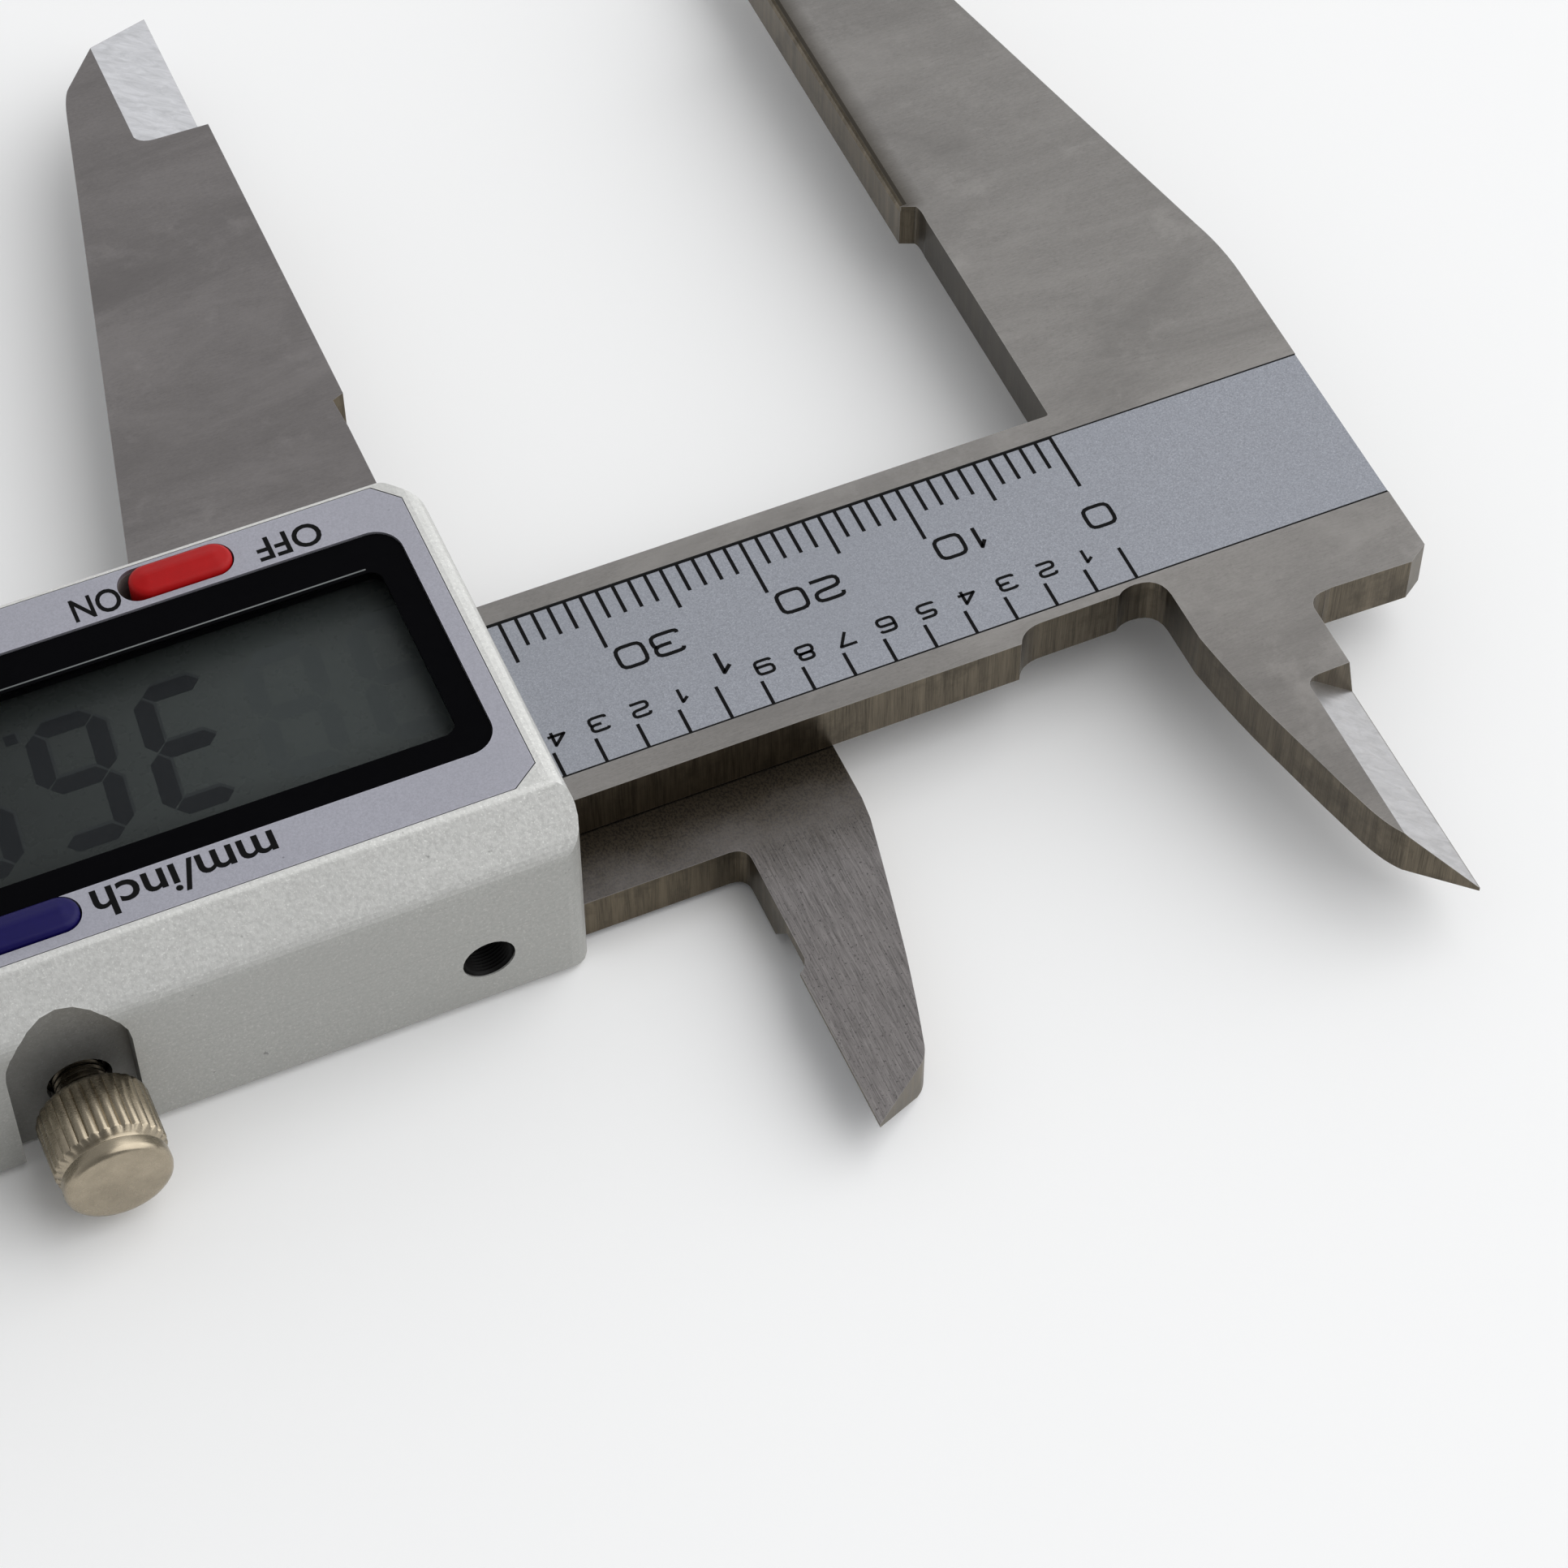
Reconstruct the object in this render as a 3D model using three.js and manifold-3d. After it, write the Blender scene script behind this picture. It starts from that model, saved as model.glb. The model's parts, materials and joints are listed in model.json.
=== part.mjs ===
// Digital caliper, 0 to 200 mm, with a die-cast display housing.
// Units are millimetres. +Z is the display's outward normal, +X points from the fixed jaws along the
// beam, and +Y points to the inside jaws. The origin is on the beam's back face and centre line, in
// the plane of the fixed outside measuring face.

import * as THREE from 'three';
import { mergeVertices } from 'three/addons/utils/BufferGeometryUtils.js';
import Module from 'manifold-3d';

const wasm = await Module();
wasm.setup();

// ---------------------------------------------------------------- driving dimensions

const RANGE = 200; // measuring range
const OPENING = 36.8; // jaw opening that the caliper is drawn at

const BEAM = { half: 7.5, thick: 3.3, end: RANGE + 72, headEnd: -16.7 };
const JAW = { tipY: -64.2, stepY: -26.6, rootX: 17.4, taper: 0.222, relief: 1.0 };
const KNIFE = { x: -9.15, width: 3.4, land: 0.3, fixedTip: 31.2, movingTip: 31.7 }; // inside jaws
const SCALE_BAND = { low: -6.0, high: 5.8, floor: 2.25 };
const GROOVE = { half: 1.7, depth: 1.7, start: 47 };

const PLATE = { back: -3.1, front: -0.1 }; // slider plate, behind the beam
const RAIL = { low: -11.7, high: 11.5, top: 3.5, length: 63.5, start: 0.3 };
const GIB = { inner: 7.6, outer: 8.4 };
const SCREW_Z = 0.6; // height of the lock and gib screws
const LOCK_X = 29.35;
const GIB_SCREW_X = [6.3, 52.7];
const COVER_SCREWS = [[5.5, -9.75], [46, -9.75], [12.5, 9.95], [46.5, 9.95]];
const COVER_SCREW = { head: 1.35, shank: 0.7, top: 7.4 };

const REAR = { z0: -3.6, z1: -3.12, x0: 1.5, x1: 63.4, y0: -11.5, y1: 11.4 }; // rear cover plate

const CASE = { x0: 0.1, x1: 70.1, y0: -12.8, y1: 13.8, z0: -3.3, z1: 10.5 };
const WALL = { x: 1.4, low: 1.0, high: 2.1, top: 1.5 };
const SLOPE = 3.0; // height and width of the case's sloped upper edge
const PANEL = { thick: 0.3, x0: 1.35, x1: 68.9, y0: -12.4, y1: 10.5 };
const WINDOW = { x0: 2.5, x1: 47.2, y0: -9.4, y1: 7.45, r: 1.7 };
const VIEW = { x0: 4.1, x1: 45.8, y0: -7.2, y1: 5.15, r: 0.8 };
const BUTTON = { width: 2.2, top: 11.0, foot: 5.7, play: 0.1 };
const BUTTONS = { // centre, length, how much longer the slot is at its +X end, colour
  on_off_button: { x: 14.5, y: -11.0, length: 6.0, spare: 0.55, color: 0xd23030 },
  zero_button: { x: 29.5, y: -11.0, length: 6.0, spare: 0, color: 0xe8c030 },
  mm_inch_button: { x: 29.8, y: 8.6, length: 6.0, spare: 0, color: 0x2c2270 },
};
const BATTERY = { x: 58.8, y: 0, r: 5.8, z0: 4.35, z1: 9.7 };
const LID = { x0: 51.0, y0: -7.2, y1: 6.7, lip: 0.6, z0: 9.8, step: 10.12 };
const ROLLER = { x: 58, r: 3.8, z0: 0, z1: 3.45, bore: 0.8 };
const ROLLER_Y = -(BEAM.half + 0.02 + ROLLER.r);

// ---------------------------------------------------------------- solids

function solid(geometry) {
  const bare = geometry.clone();
  bare.deleteAttribute('normal');
  bare.deleteAttribute('uv');
  const merged = mergeVertices(bare, 1e-5);
  return new wasm.Manifold(new wasm.Mesh({
    numProp: 3,
    vertProperties: new Float32Array(merged.attributes.position.array),
    triVerts: new Uint32Array(merged.index.array),
  }));
}

function toGeometry(body) {
  const data = body.getMesh();
  const geometry = new THREE.BufferGeometry();
  geometry.setAttribute('position', new THREE.BufferAttribute(data.vertProperties, 3));
  geometry.setIndex(new THREE.BufferAttribute(data.triVerts, 1));
  geometry.computeVertexNormals();
  return geometry;
}

function box(x0, x1, y0, y1, z0, z1) {
  const geometry = new THREE.BoxGeometry(x1 - x0, y1 - y0, z1 - z0);
  return solid(geometry.translate((x0 + x1) / 2, (y0 + y1) / 2, (z0 + z1) / 2));
}

function extrude(shape, depth) {
  return new THREE.ExtrudeGeometry(shape, { depth, bevelEnabled: false, curveSegments: 6 });
}

// A plan outline in X and Y, standing between two heights.
function plate(shape, z0, z1) {
  return solid(extrude(shape, z1 - z0).translate(0, 0, z0));
}

// An outline of [y, z] points or a Shape in Y and Z, running along X.
function barX(outline, x0, x1) {
  const shape = Array.isArray(outline) ? polygon(outline) : outline;
  const geometry = extrude(shape, x1 - x0).translate(0, 0, x0);
  const toWorld = new THREE.Matrix4().makeBasis(
    new THREE.Vector3(0, 1, 0), new THREE.Vector3(0, 0, 1), new THREE.Vector3(1, 0, 0));
  return solid(geometry.applyMatrix4(toWorld));
}

// An outline of [x, z] points or a Shape in X and Z, running along Y.
function barY(outline, y0, y1) {
  const shape = Array.isArray(outline) ? polygon(outline) : outline;
  const geometry = extrude(shape, y1 - y0).translate(0, 0, -y1);
  return solid(geometry.rotateX(Math.PI / 2));
}

function polygon(points) {
  return new THREE.Shape(points.map(([a, b]) => new THREE.Vector2(a, b)));
}

// An outline of [a, b, radius] corners, each rounded by a short curve.
function softened(corners) {
  const shape = new THREE.Shape();
  const count = corners.length;
  corners.forEach(([a, b, r], index) => {
    const corner = new THREE.Vector2(a, b);
    const towards = (other) => new THREE.Vector2(other[0], other[1]).sub(corner).setLength(r).add(corner);
    const start = towards(corners[(index + count - 1) % count]);
    const end = towards(corners[(index + 1) % count]);
    if (index === 0) {
      shape.moveTo(start.x, start.y);
    } else {
      shape.lineTo(start.x, start.y);
    }
    shape.quadraticCurveTo(a, b, end.x, end.y);
  });
  return shape;
}

function roundedRect(x0, x1, y0, y1, r) {
  const shape = new THREE.Shape();
  shape.moveTo(x0 + r, y0);
  shape.lineTo(x1 - r, y0);
  shape.absarc(x1 - r, y0 + r, r, -Math.PI / 2, 0);
  shape.lineTo(x1, y1 - r);
  shape.absarc(x1 - r, y1 - r, r, 0, Math.PI / 2);
  shape.lineTo(x0 + r, y1);
  shape.absarc(x0 + r, y1 - r, r, Math.PI / 2, Math.PI);
  shape.lineTo(x0, y0 + r);
  shape.absarc(x0 + r, y0 + r, r, Math.PI, Math.PI * 1.5);
  return shape;
}

function pill(cx, cy, length, width) {
  const reach = width / 2 - 0.001;
  return roundedRect(cx - length / 2, cx + length / 2, cy - width / 2, cy + width / 2, reach);
}

// A cylinder or cone along +Z from z0 to z1.
function roundZ(x, y, z0, z1, r0, r1 = r0, sides = 24) {
  const geometry = new THREE.CylinderGeometry(r1, r0, z1 - z0, sides).rotateX(Math.PI / 2);
  return solid(geometry.translate(x, y, (z0 + z1) / 2));
}

// A cylinder along +Y from y0 to y1.
function roundY(x, z, y0, y1, r, sides = 24) {
  const geometry = new THREE.CylinderGeometry(r, r, y1 - y0, sides);
  return solid(geometry.translate(x, (y0 + y1) / 2, z));
}

// A turned piece along Y: [radius, y] points, from the axis to the axis.
function turnedY(points, x, z, sides = 32) {
  const profile = points.map(([r, y]) => new THREE.Vector2(r, y));
  return solid(new THREE.LatheGeometry(profile, sides).translate(x, 0, z));
}

function finish(color, metalness, roughness, opacity = 1) {
  const transparent = opacity < 1;
  return new THREE.MeshStandardMaterial({ color, metalness, roughness, opacity, transparent });
}

const look = {
  steel: finish(0x86817c, 1, 0.36),
  label: finish(0xa4a7b0, 0.5, 0.5),
  board: finish(0x2f6b3c, 0, 0.6),
  brass: finish(0xb08d45, 1, 0.4),
  nickel: finish(0xb8ab97, 1, 0.3),
  zinc: finish(0xc4c4bd, 0.6, 0.5),
  panel: finish(0xa8a8b4, 0.4, 0.35),
  clear: finish(0xdfe6e6, 0, 0.05, 0.35),
  black: finish(0x101014, 0, 0.3),
  glass: finish(0x4a5250, 0, 0.15),
  rubber: finish(0x303030, 0, 0.9),
  gold: finish(0xc9a25a, 1, 0.35),
};

const fixed = new THREE.Group();
const slider = new THREE.Group();
slider.position.x = OPENING;

function piece(group, name, body, material) {
  const mesh = new THREE.Mesh(toGeometry(body), material);
  mesh.name = name;
  group.add(mesh);
}

// ---------------------------------------------------------------- jaws

// Outer side of an outside jaw, from its root to the tip. side is -1 for the fixed jaw and +1 for
// the moving one; the measuring face is at x = 0.
function jawTip(shape, side) {
  const outerX = (y) => side * (JAW.rootX + JAW.taper * (y + 12));
  shape.lineTo(outerX(-54.5), -54.5);
  shape.quadraticCurveTo(outerX(-56.6), -56.6, side * 7.0, -57.1);
  shape.lineTo(side * 4.6, -60.0);
  shape.lineTo(0, JAW.tipY);
}

// The ground hollow that thins an outside jaw's tip to a narrow edge at its back.
function tipHollow(side) {
  const inner = side * 4.65;
  const edge = 0.3;
  const section = [[inner, BEAM.thick], [0, edge], [-side, edge - 0.65], [-side, 6], [inner, 6]];
  const floor = barY(section, JAW.tipY - 1, -50);
  const plan = new THREE.Shape();
  plan.moveTo(-side, -66);
  plan.lineTo(side * 4.7, -66);
  plan.lineTo(side * 4.7, -51.5);
  plan.quadraticCurveTo(side * 4.6, -50.7, side * 3.6, -50.6);
  plan.lineTo(-side, -50.5);
  return floor.intersect(plate(plan, -1, 7));
}

// The worn-off front edge of the fixed measuring face.
function wornEdge() {
  const top = BEAM.thick;
  const worn = [[-0.5, top + 0.01], [-0.24, top - 0.1], [-0.09, top - 0.26], [0, top - 0.55]];
  const edge = [...worn, [0.5, top - 0.55], [0.5, top + 0.5], [-0.5, top + 0.5]];
  return barY(edge, JAW.tipY - 1, JAW.stepY);
}

// ---------------------------------------------------------------- beam with the fixed jaws

function beamOutline() {
  const { half, end, headEnd } = BEAM;
  const outline = new THREE.Shape();
  outline.moveTo(end, -half);
  outline.lineTo(end, half);
  outline.lineTo(7.9, half);
  outline.quadraticCurveTo(7.5, 6.6, 6.3, 6.52);
  outline.lineTo(1.2, 6.5);
  outline.quadraticCurveTo(0.8, 6.15, 0.1, 6.15);
  outline.quadraticCurveTo(-1.5, 6.15, -1.55, 7.7);
  outline.lineTo(-1.6, 11.2);
  outline.quadraticCurveTo(-2.2, 15.6, -3.1, 19.1);
  outline.quadraticCurveTo(-4.1, 23.4, -4.75, 25.7);
  outline.quadraticCurveTo(-5.2, 27.3, -5.9, 28.2);
  outline.lineTo(KNIFE.x, KNIFE.fixedTip);
  outline.lineTo(KNIFE.x, 12.1);
  outline.quadraticCurveTo(KNIFE.x, 10.95, -10.2, 10.9);
  outline.lineTo(-15.4, 11.05);
  outline.lineTo(headEnd, 10.2);
  outline.lineTo(headEnd, -13.2);
  outline.quadraticCurveTo(headEnd, -15.6, -JAW.rootX + 1.33, -18);
  jawTip(outline, -1);
  outline.lineTo(0, JAW.stepY);
  outline.lineTo(-0.9, -26.2);
  outline.quadraticCurveTo(-1.1, -25.8, -JAW.relief, -24.9);
  outline.lineTo(-JAW.relief, -half - 0.2);
  outline.quadraticCurveTo(-JAW.relief, -half, -JAW.relief + 0.2, -half);
  return outline;
}

// The fixed inside jaw's bevel, cut from the front down to a narrow edge at the back.
function fixedKnifeBevel() {
  const innerX = KNIFE.x + KNIFE.width;
  const outerX = KNIFE.x - 1.2;
  const section = [[innerX, BEAM.thick], [outerX, KNIFE.land - 1.1], [outerX, 6], [innerX, 6]];
  const floor = barY(section, 15, 34);
  const plan = new THREE.Shape();
  plan.moveTo(innerX + 0.05, 34);
  plan.lineTo(KNIFE.x - 1.5, 34);
  plan.lineTo(KNIFE.x - 1.5, 16.1);
  plan.lineTo(innerX - 0.8, 16.2);
  plan.quadraticCurveTo(innerX, 16.25, innerX + 0.05, 17.1);
  return floor.intersect(plate(plan, KNIFE.land, 7));
}

// The slant of the fixed inside jaw's outer side, from its front edge down to the knife edge.
function fixedKnifeSlant() {
  const slant = [[KNIFE.x + 0.55, BEAM.thick + 0.1], [KNIFE.x, KNIFE.land], [KNIFE.x - 2, KNIFE.land],
    [KNIFE.x - 2, BEAM.thick + 0.1]];
  const plan = new THREE.Shape();
  plan.moveTo(KNIFE.x + 1, 34);
  plan.lineTo(KNIFE.x - 0.7, 34);
  plan.lineTo(KNIFE.x - 0.7, 10.94);
  plan.quadraticCurveTo(KNIFE.x + 0.55, 10.95, KNIFE.x + 0.55, 12.1);
  plan.lineTo(KNIFE.x + 1, 12.5);
  return barY(slant, 10.8, 34).intersect(plate(plan, 0, 7));
}

const END_STOP = { x0: 264, half: 6.5, thick: 1.0, screwX: 268, screwY: 4.3 };

function beam() {
  const { thick, end, headEnd } = BEAM;
  let body = plate(beamOutline(), 0, thick);
  const band = box(headEnd - 1, end + 1, SCALE_BAND.low, SCALE_BAND.high, SCALE_BAND.floor, thick + 1);
  const groove = box(GROOVE.start, end + 1, -GROOVE.half, GROOVE.half, -1, GROOVE.depth);
  body = body.subtract(band).subtract(groove).subtract(fixedKnifeBevel()).subtract(fixedKnifeSlant());
  body = body.subtract(tipHollow(-1)).subtract(wornEdge());
  for (const side of [-1, 1]) {
    body = body.subtract(roundZ(END_STOP.screwX, side * END_STOP.screwY, -1, 2, 1.05));
  }
  return body;
}

piece(fixed, 'beam', beam(), look.steel);

// A strip that lies in the beam's scale band, a little smaller than the band.
function strip(gap, z0, z1) {
  const { low, high } = SCALE_BAND;
  return box(BEAM.headEnd + gap, BEAM.end - gap, low + gap, high - gap, z0, z1);
}

piece(fixed, 'scale_stator', strip(0.05, 2.27, 3.08), look.board);
piece(fixed, 'scale_label', strip(0.04, 3.1, BEAM.thick), look.label);

// A countersunk screw along +Z with its head at the bottom and a cross recess.
function screw(x, y, z0, z1, head, shank) {
  const sink = head - shank;
  const body = roundZ(x, y, z0, z0 + sink, head, shank).add(roundZ(x, y, z0 + sink - 0.01, z1, shank));
  const slot = head * 0.62;
  const cross = box(x - slot, x + slot, y - 0.2, y + 0.2, z0 - 1, z0 + 0.45)
    .add(box(x - 0.2, x + 0.2, y - slot, y + slot, z0 - 1, z0 + 0.45));
  return body.subtract(cross);
}

function screwSeat(x, y, z0, head, shank) {
  const sink = head - shank;
  const cone = roundZ(x, y, z0, z0 + sink, head + 0.1, shank + 0.1);
  return cone.add(roundZ(x, y, z0 - 1, z0 + 0.01, head + 0.1));
}

function endStop() {
  let body = box(END_STOP.x0, BEAM.end, -END_STOP.half, END_STOP.half, -END_STOP.thick, 0);
  for (const side of [-1, 1]) {
    const y = side * END_STOP.screwY;
    body = body.subtract(screwSeat(END_STOP.screwX, y, -END_STOP.thick, 1.8, 1.0));
    body = body.subtract(roundZ(END_STOP.screwX, y, -1, 0.5, 1.1));
  }
  return body;
}

piece(fixed, 'end_stop_plate', endStop(), look.steel);
for (const [index, side] of [-1, 1].entries()) {
  const body = screw(END_STOP.screwX, side * END_STOP.screwY, -END_STOP.thick, 1.8, 1.8, 1.0);
  piece(fixed, `end_stop_screw_${index + 1}`, body, look.nickel);
}

// ---------------------------------------------------------------- slider frame with the moving jaws

const EAR = { x0: ROLLER.x - 3.5, x1: ROLLER.x + 3.5, y: -12.6 };

function sliderPlateOutline() {
  const outline = new THREE.Shape();
  outline.moveTo(RAIL.length, RAIL.low);
  outline.lineTo(RAIL.length, RAIL.high);
  outline.lineTo(RAIL.start, RAIL.high);
  outline.lineTo(0, 12.0);
  outline.lineTo(-8.8, 12.0);
  outline.quadraticCurveTo(-9.75, 12.05, -9.77, 12.9);
  outline.lineTo(-9.77, 20.2);
  outline.quadraticCurveTo(-9.55, 20.9, KNIFE.x, 21.0);
  outline.lineTo(KNIFE.x, KNIFE.movingTip);
  outline.lineTo(-12.85, 29.0);
  outline.quadraticCurveTo(-13.3, 28.6, -13.5, 27.8);
  outline.quadraticCurveTo(-14.35, 24.9, -15.06, 21.99);
  outline.quadraticCurveTo(-16.1, 17.4, -17.0, 13.0);
  outline.lineTo(-17.15, 11.5);
  outline.lineTo(-17.15, 1);
  outline.quadraticCurveTo(-17.15, -2, -14.2, -2);
  outline.lineTo(-4, -2);
  outline.quadraticCurveTo(0.3, -2, RAIL.start, -6.5);
  outline.lineTo(RAIL.start, RAIL.low);
  outline.lineTo(EAR.x0, RAIL.low);
  outline.lineTo(EAR.x0 + 1, EAR.y);
  outline.lineTo(EAR.x1 - 1, EAR.y);
  outline.lineTo(EAR.x1, RAIL.low);
  return outline;
}

function movingJawOutline() {
  const outline = new THREE.Shape();
  outline.moveTo(0.62, -9);
  outline.lineTo(JAW.rootX + 0.3, -9);
  outline.lineTo(JAW.rootX, -12);
  jawTip(outline, 1);
  outline.lineTo(0, JAW.stepY + 0.6);
  outline.lineTo(0.75, JAW.stepY + 0.9);
  outline.lineTo(0.62, -23.3);
  return outline;
}

// The moving inside jaw's bevel, cut from the back up to a narrow edge at the front.
function movingKnifeBevel() {
  const innerX = KNIFE.x - KNIFE.width;
  const edge = PLATE.front - KNIFE.land;
  const floor = barY([[innerX, PLATE.back], [KNIFE.x, edge], [KNIFE.x + 1, edge + 0.9], [KNIFE.x + 1, -6],
    [innerX, -6]], 13, 34);
  const runOut = barX([[18.2, edge], [34, edge], [34, -6], [14.1, -6]], -20, 0);
  return floor.intersect(runOut);
}

const ROD = { start: 50, half: 1.5, z0: 0.1, z1: 1.5, screwX: 53 };

function coverScrewHole(x, y, z0, z1) {
  const { head, shank } = COVER_SCREW;
  return screwSeat(x, y, REAR.z0, head, shank).add(roundZ(x, y, z0, z1, shank + 0.1));
}

function sliderFrame() {
  const { back, front } = PLATE;
  let body = plate(sliderPlateOutline(), back, front);
  body = body.add(box(RAIL.start, EAR.x0 - 1.2, RAIL.low, -BEAM.half - 0.1, back, RAIL.top));
  body = body.add(box(RAIL.start, RAIL.length, GIB.outer + 0.1, RAIL.high, back, RAIL.top));
  body = body.add(plate(movingJawOutline(), 0, BEAM.thick));
  body = body.subtract(tipHollow(1)).subtract(movingKnifeBevel());
  body = body.subtract(roundY(LOCK_X, SCREW_Z, 8, 12, 1.55));
  for (const x of GIB_SCREW_X) {
    body = body.subtract(roundY(x, SCREW_Z, 8, 12, 1.25));
  }
  for (const [x, y] of COVER_SCREWS) {
    body = body.subtract(coverScrewHole(x, y, back - 1, RAIL.top + 1));
  }
  body = body.subtract(roundZ(ROD.screwX, 0, back - 1, 1, 0.85));
  body = body.subtract(roundZ(ROD.screwX, 0, back - 1, back + 0.8, 1.6));
  return body.subtract(roundZ(ROLLER.x, ROLLER_Y, back - 1, 1, 0.75));
}

function rearCover() {
  let body = plate(roundedRect(REAR.x0, REAR.x1, REAR.y0, REAR.y1, 1.0), REAR.z0, REAR.z1);
  for (const [x, y] of COVER_SCREWS) {
    body = body.subtract(coverScrewHole(x, y, REAR.z0 - 1, REAR.z1 + 1));
  }
  return body;
}

function depthRod() {
  const end = BEAM.end;
  const body = box(ROD.start, end, -ROD.half, ROD.half, ROD.z0, ROD.z1);
  const notch = box(end - 3, end + 1, 0.5, ROD.half + 1, 0, 2);
  return body.subtract(notch).subtract(roundZ(ROD.screwX, 0, -1, 3, 0.85));
}

function rodScrew() {
  const head = roundZ(ROD.screwX, 0, PLATE.back + 0.02, PLATE.back + 0.75, 1.5);
  return head.add(roundZ(ROD.screwX, 0, PLATE.back + 0.5, 1.45, 0.8));
}

function coverScrew(x, y) {
  const { head, shank, top } = COVER_SCREW;
  return screw(x, y, REAR.z0, top, head, shank);
}

piece(slider, 'slider_frame', sliderFrame(), look.steel);
piece(slider, 'rear_cover', rearCover(), look.steel);
for (const [index, [x, y]] of COVER_SCREWS.entries()) {
  piece(slider, `rear_screw_${index + 1}`, coverScrew(x, y), look.nickel);
}
piece(slider, 'depth_rod', depthRod(), look.steel);
piece(slider, 'rod_screw', rodScrew(), look.nickel);
piece(slider, 'gib_strip', box(1.5, 62.5, GIB.inner, GIB.outer, 0.15, 3.15), look.brass);
for (const [index, x] of GIB_SCREW_X.entries()) {
  const thread = roundY(x, SCREW_Z, 8.45, 11.3, 1.2);
  const slot = box(x - 0.9, x + 0.9, 10.8, 12, SCREW_Z - 0.2, SCREW_Z + 0.2);
  piece(slider, `gib_screw_${index + 1}`, thread.subtract(slot), look.nickel);
}

function rollerAxle() {
  const pin = roundZ(ROLLER.x, ROLLER_Y, PLATE.back + 0.02, ROLLER.z1 + 0.1, 0.73);
  return pin.add(roundZ(ROLLER.x, ROLLER_Y, ROLLER.z1 + 0.05, ROLLER.z1 + 0.2, 1.3));
}

function thumbRoller() {
  const rim = roundZ(ROLLER.x, ROLLER_Y, ROLLER.z0, ROLLER.z1, ROLLER.r, ROLLER.r, 48);
  return rim.subtract(roundZ(ROLLER.x, ROLLER_Y, -1, 5, ROLLER.bore));
}

piece(slider, 'roller_axle', rollerAxle(), look.nickel);
piece(slider, 'thumb_roller', thumbRoller(), look.steel);

// The lock screw: a threaded shank that reaches the gib, and a knob with a ring groove near its end.
const KNOB = { y0: 13.9, y1: 19.4, r: 3.15, shank: 1.45, tip: 8.6 };

function lockScrew() {
  const { y0, y1, r, shank, tip } = KNOB;
  const thread = [[0, tip], [shank - 0.4, tip], [shank, tip + 0.4], [shank, y0]];
  const groove = [[r, y1 - 1.5], [r - 0.3, y1 - 1.3], [r - 0.3, y1 - 1.0], [r, y1 - 0.8]];
  const head = [[r - 0.4, y0], [r, y0 + 0.5], ...groove, [r, y1 - 0.4], [r - 0.4, y1], [0, y1]];
  return turnedY([...thread, ...head], LOCK_X, SCREW_Z);
}

piece(slider, 'lock_screw', lockScrew(), look.nickel);

// ---------------------------------------------------------------- case

function casePlan() {
  const { x0, x1, y0, y1 } = CASE;
  const cut = 2.1;
  const cutRound = 0.7;
  const r = 2.0;
  return softened([[x0 + cut, y0, cutRound], [x1 - cut, y0, cutRound], [x1, y0 + cut, cutRound], [x1, y1, r],
    [x0, y1, r], [x0, y0 + cut, cutRound]]);
}

// Side view of the case, with rounded upper ends.
function caseSide() {
  const { x0, x1, z0, z1 } = CASE;
  const upper = 1.3;
  const lower = 0.4;
  return softened([[x0, z0, lower], [x1, z0, lower], [x1, z1, upper], [x0, z1, upper]]);
}

function panelPlan(grow) {
  const x0 = PANEL.x0 - grow;
  const x1 = PANEL.x1 + grow;
  const y0 = PANEL.y0 - grow;
  const y1 = PANEL.y1 + grow;
  return polygon([[x0 + 1.4, y0], [x1 - 1.4, y0], [x1, y0 + 1.4], [x1, y1 - 1.2], [x1 - 1.6, y1],
    [x0 + 1.6, y1], [x0, y1 - 1.2], [x0, y0 + 1.4]]);
}

function buttonHoles(z0, z1) {
  const { width, play } = BUTTON;
  const holes = Object.values(BUTTONS).map(({ x, y, length, spare }) => plate(
    pill(x + spare / 2, y, length + spare + 2 * play, width + 2 * play), z0, z1));
  return holes.reduce((all, hole) => all.add(hole));
}

// The path that the battery lid slides along, open at the case's +X end.
function lidPath() {
  const gap = 0.1;
  const wide = gap + LID.lip;
  const low = LID.z0 - gap;
  const deep = box(LID.x0 - gap, 75, LID.y0 - wide, LID.y1 + wide, low, LID.step + gap);
  return deep.add(box(LID.x0 - gap, 75, LID.y0 - gap, LID.y1 + gap, low, 11));
}

function lockRecess() {
  const x = 29.8;
  const half = 3.5;
  const archZ = 5.0;
  const arch = new THREE.Shape();
  arch.moveTo(x - half, -4);
  arch.lineTo(x + half, -4);
  arch.lineTo(x + half, archZ);
  arch.absarc(x, archZ, half, 0, Math.PI);
  return barY(arch, 12.3, 15).add(roundY(LOCK_X, SCREW_Z, 11, 13, 1.85));
}

const ROOF = CASE.z1 - WALL.top; // underside of the case's top wall
const IN_Y0 = CASE.y0 + WALL.low; // inner faces of the two long walls
const IN_Y1 = CASE.y1 - WALL.high;
const BOSS = { z0: RAIL.top + 0.05, r: 1.3, hole: 0.75 };
const BAY = { z0: RAIL.top + 0.2, floor: 0.5, x0: 51.4, wall: 0.8, inner: 6.4, outer: 7.2 }; // battery bay

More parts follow.
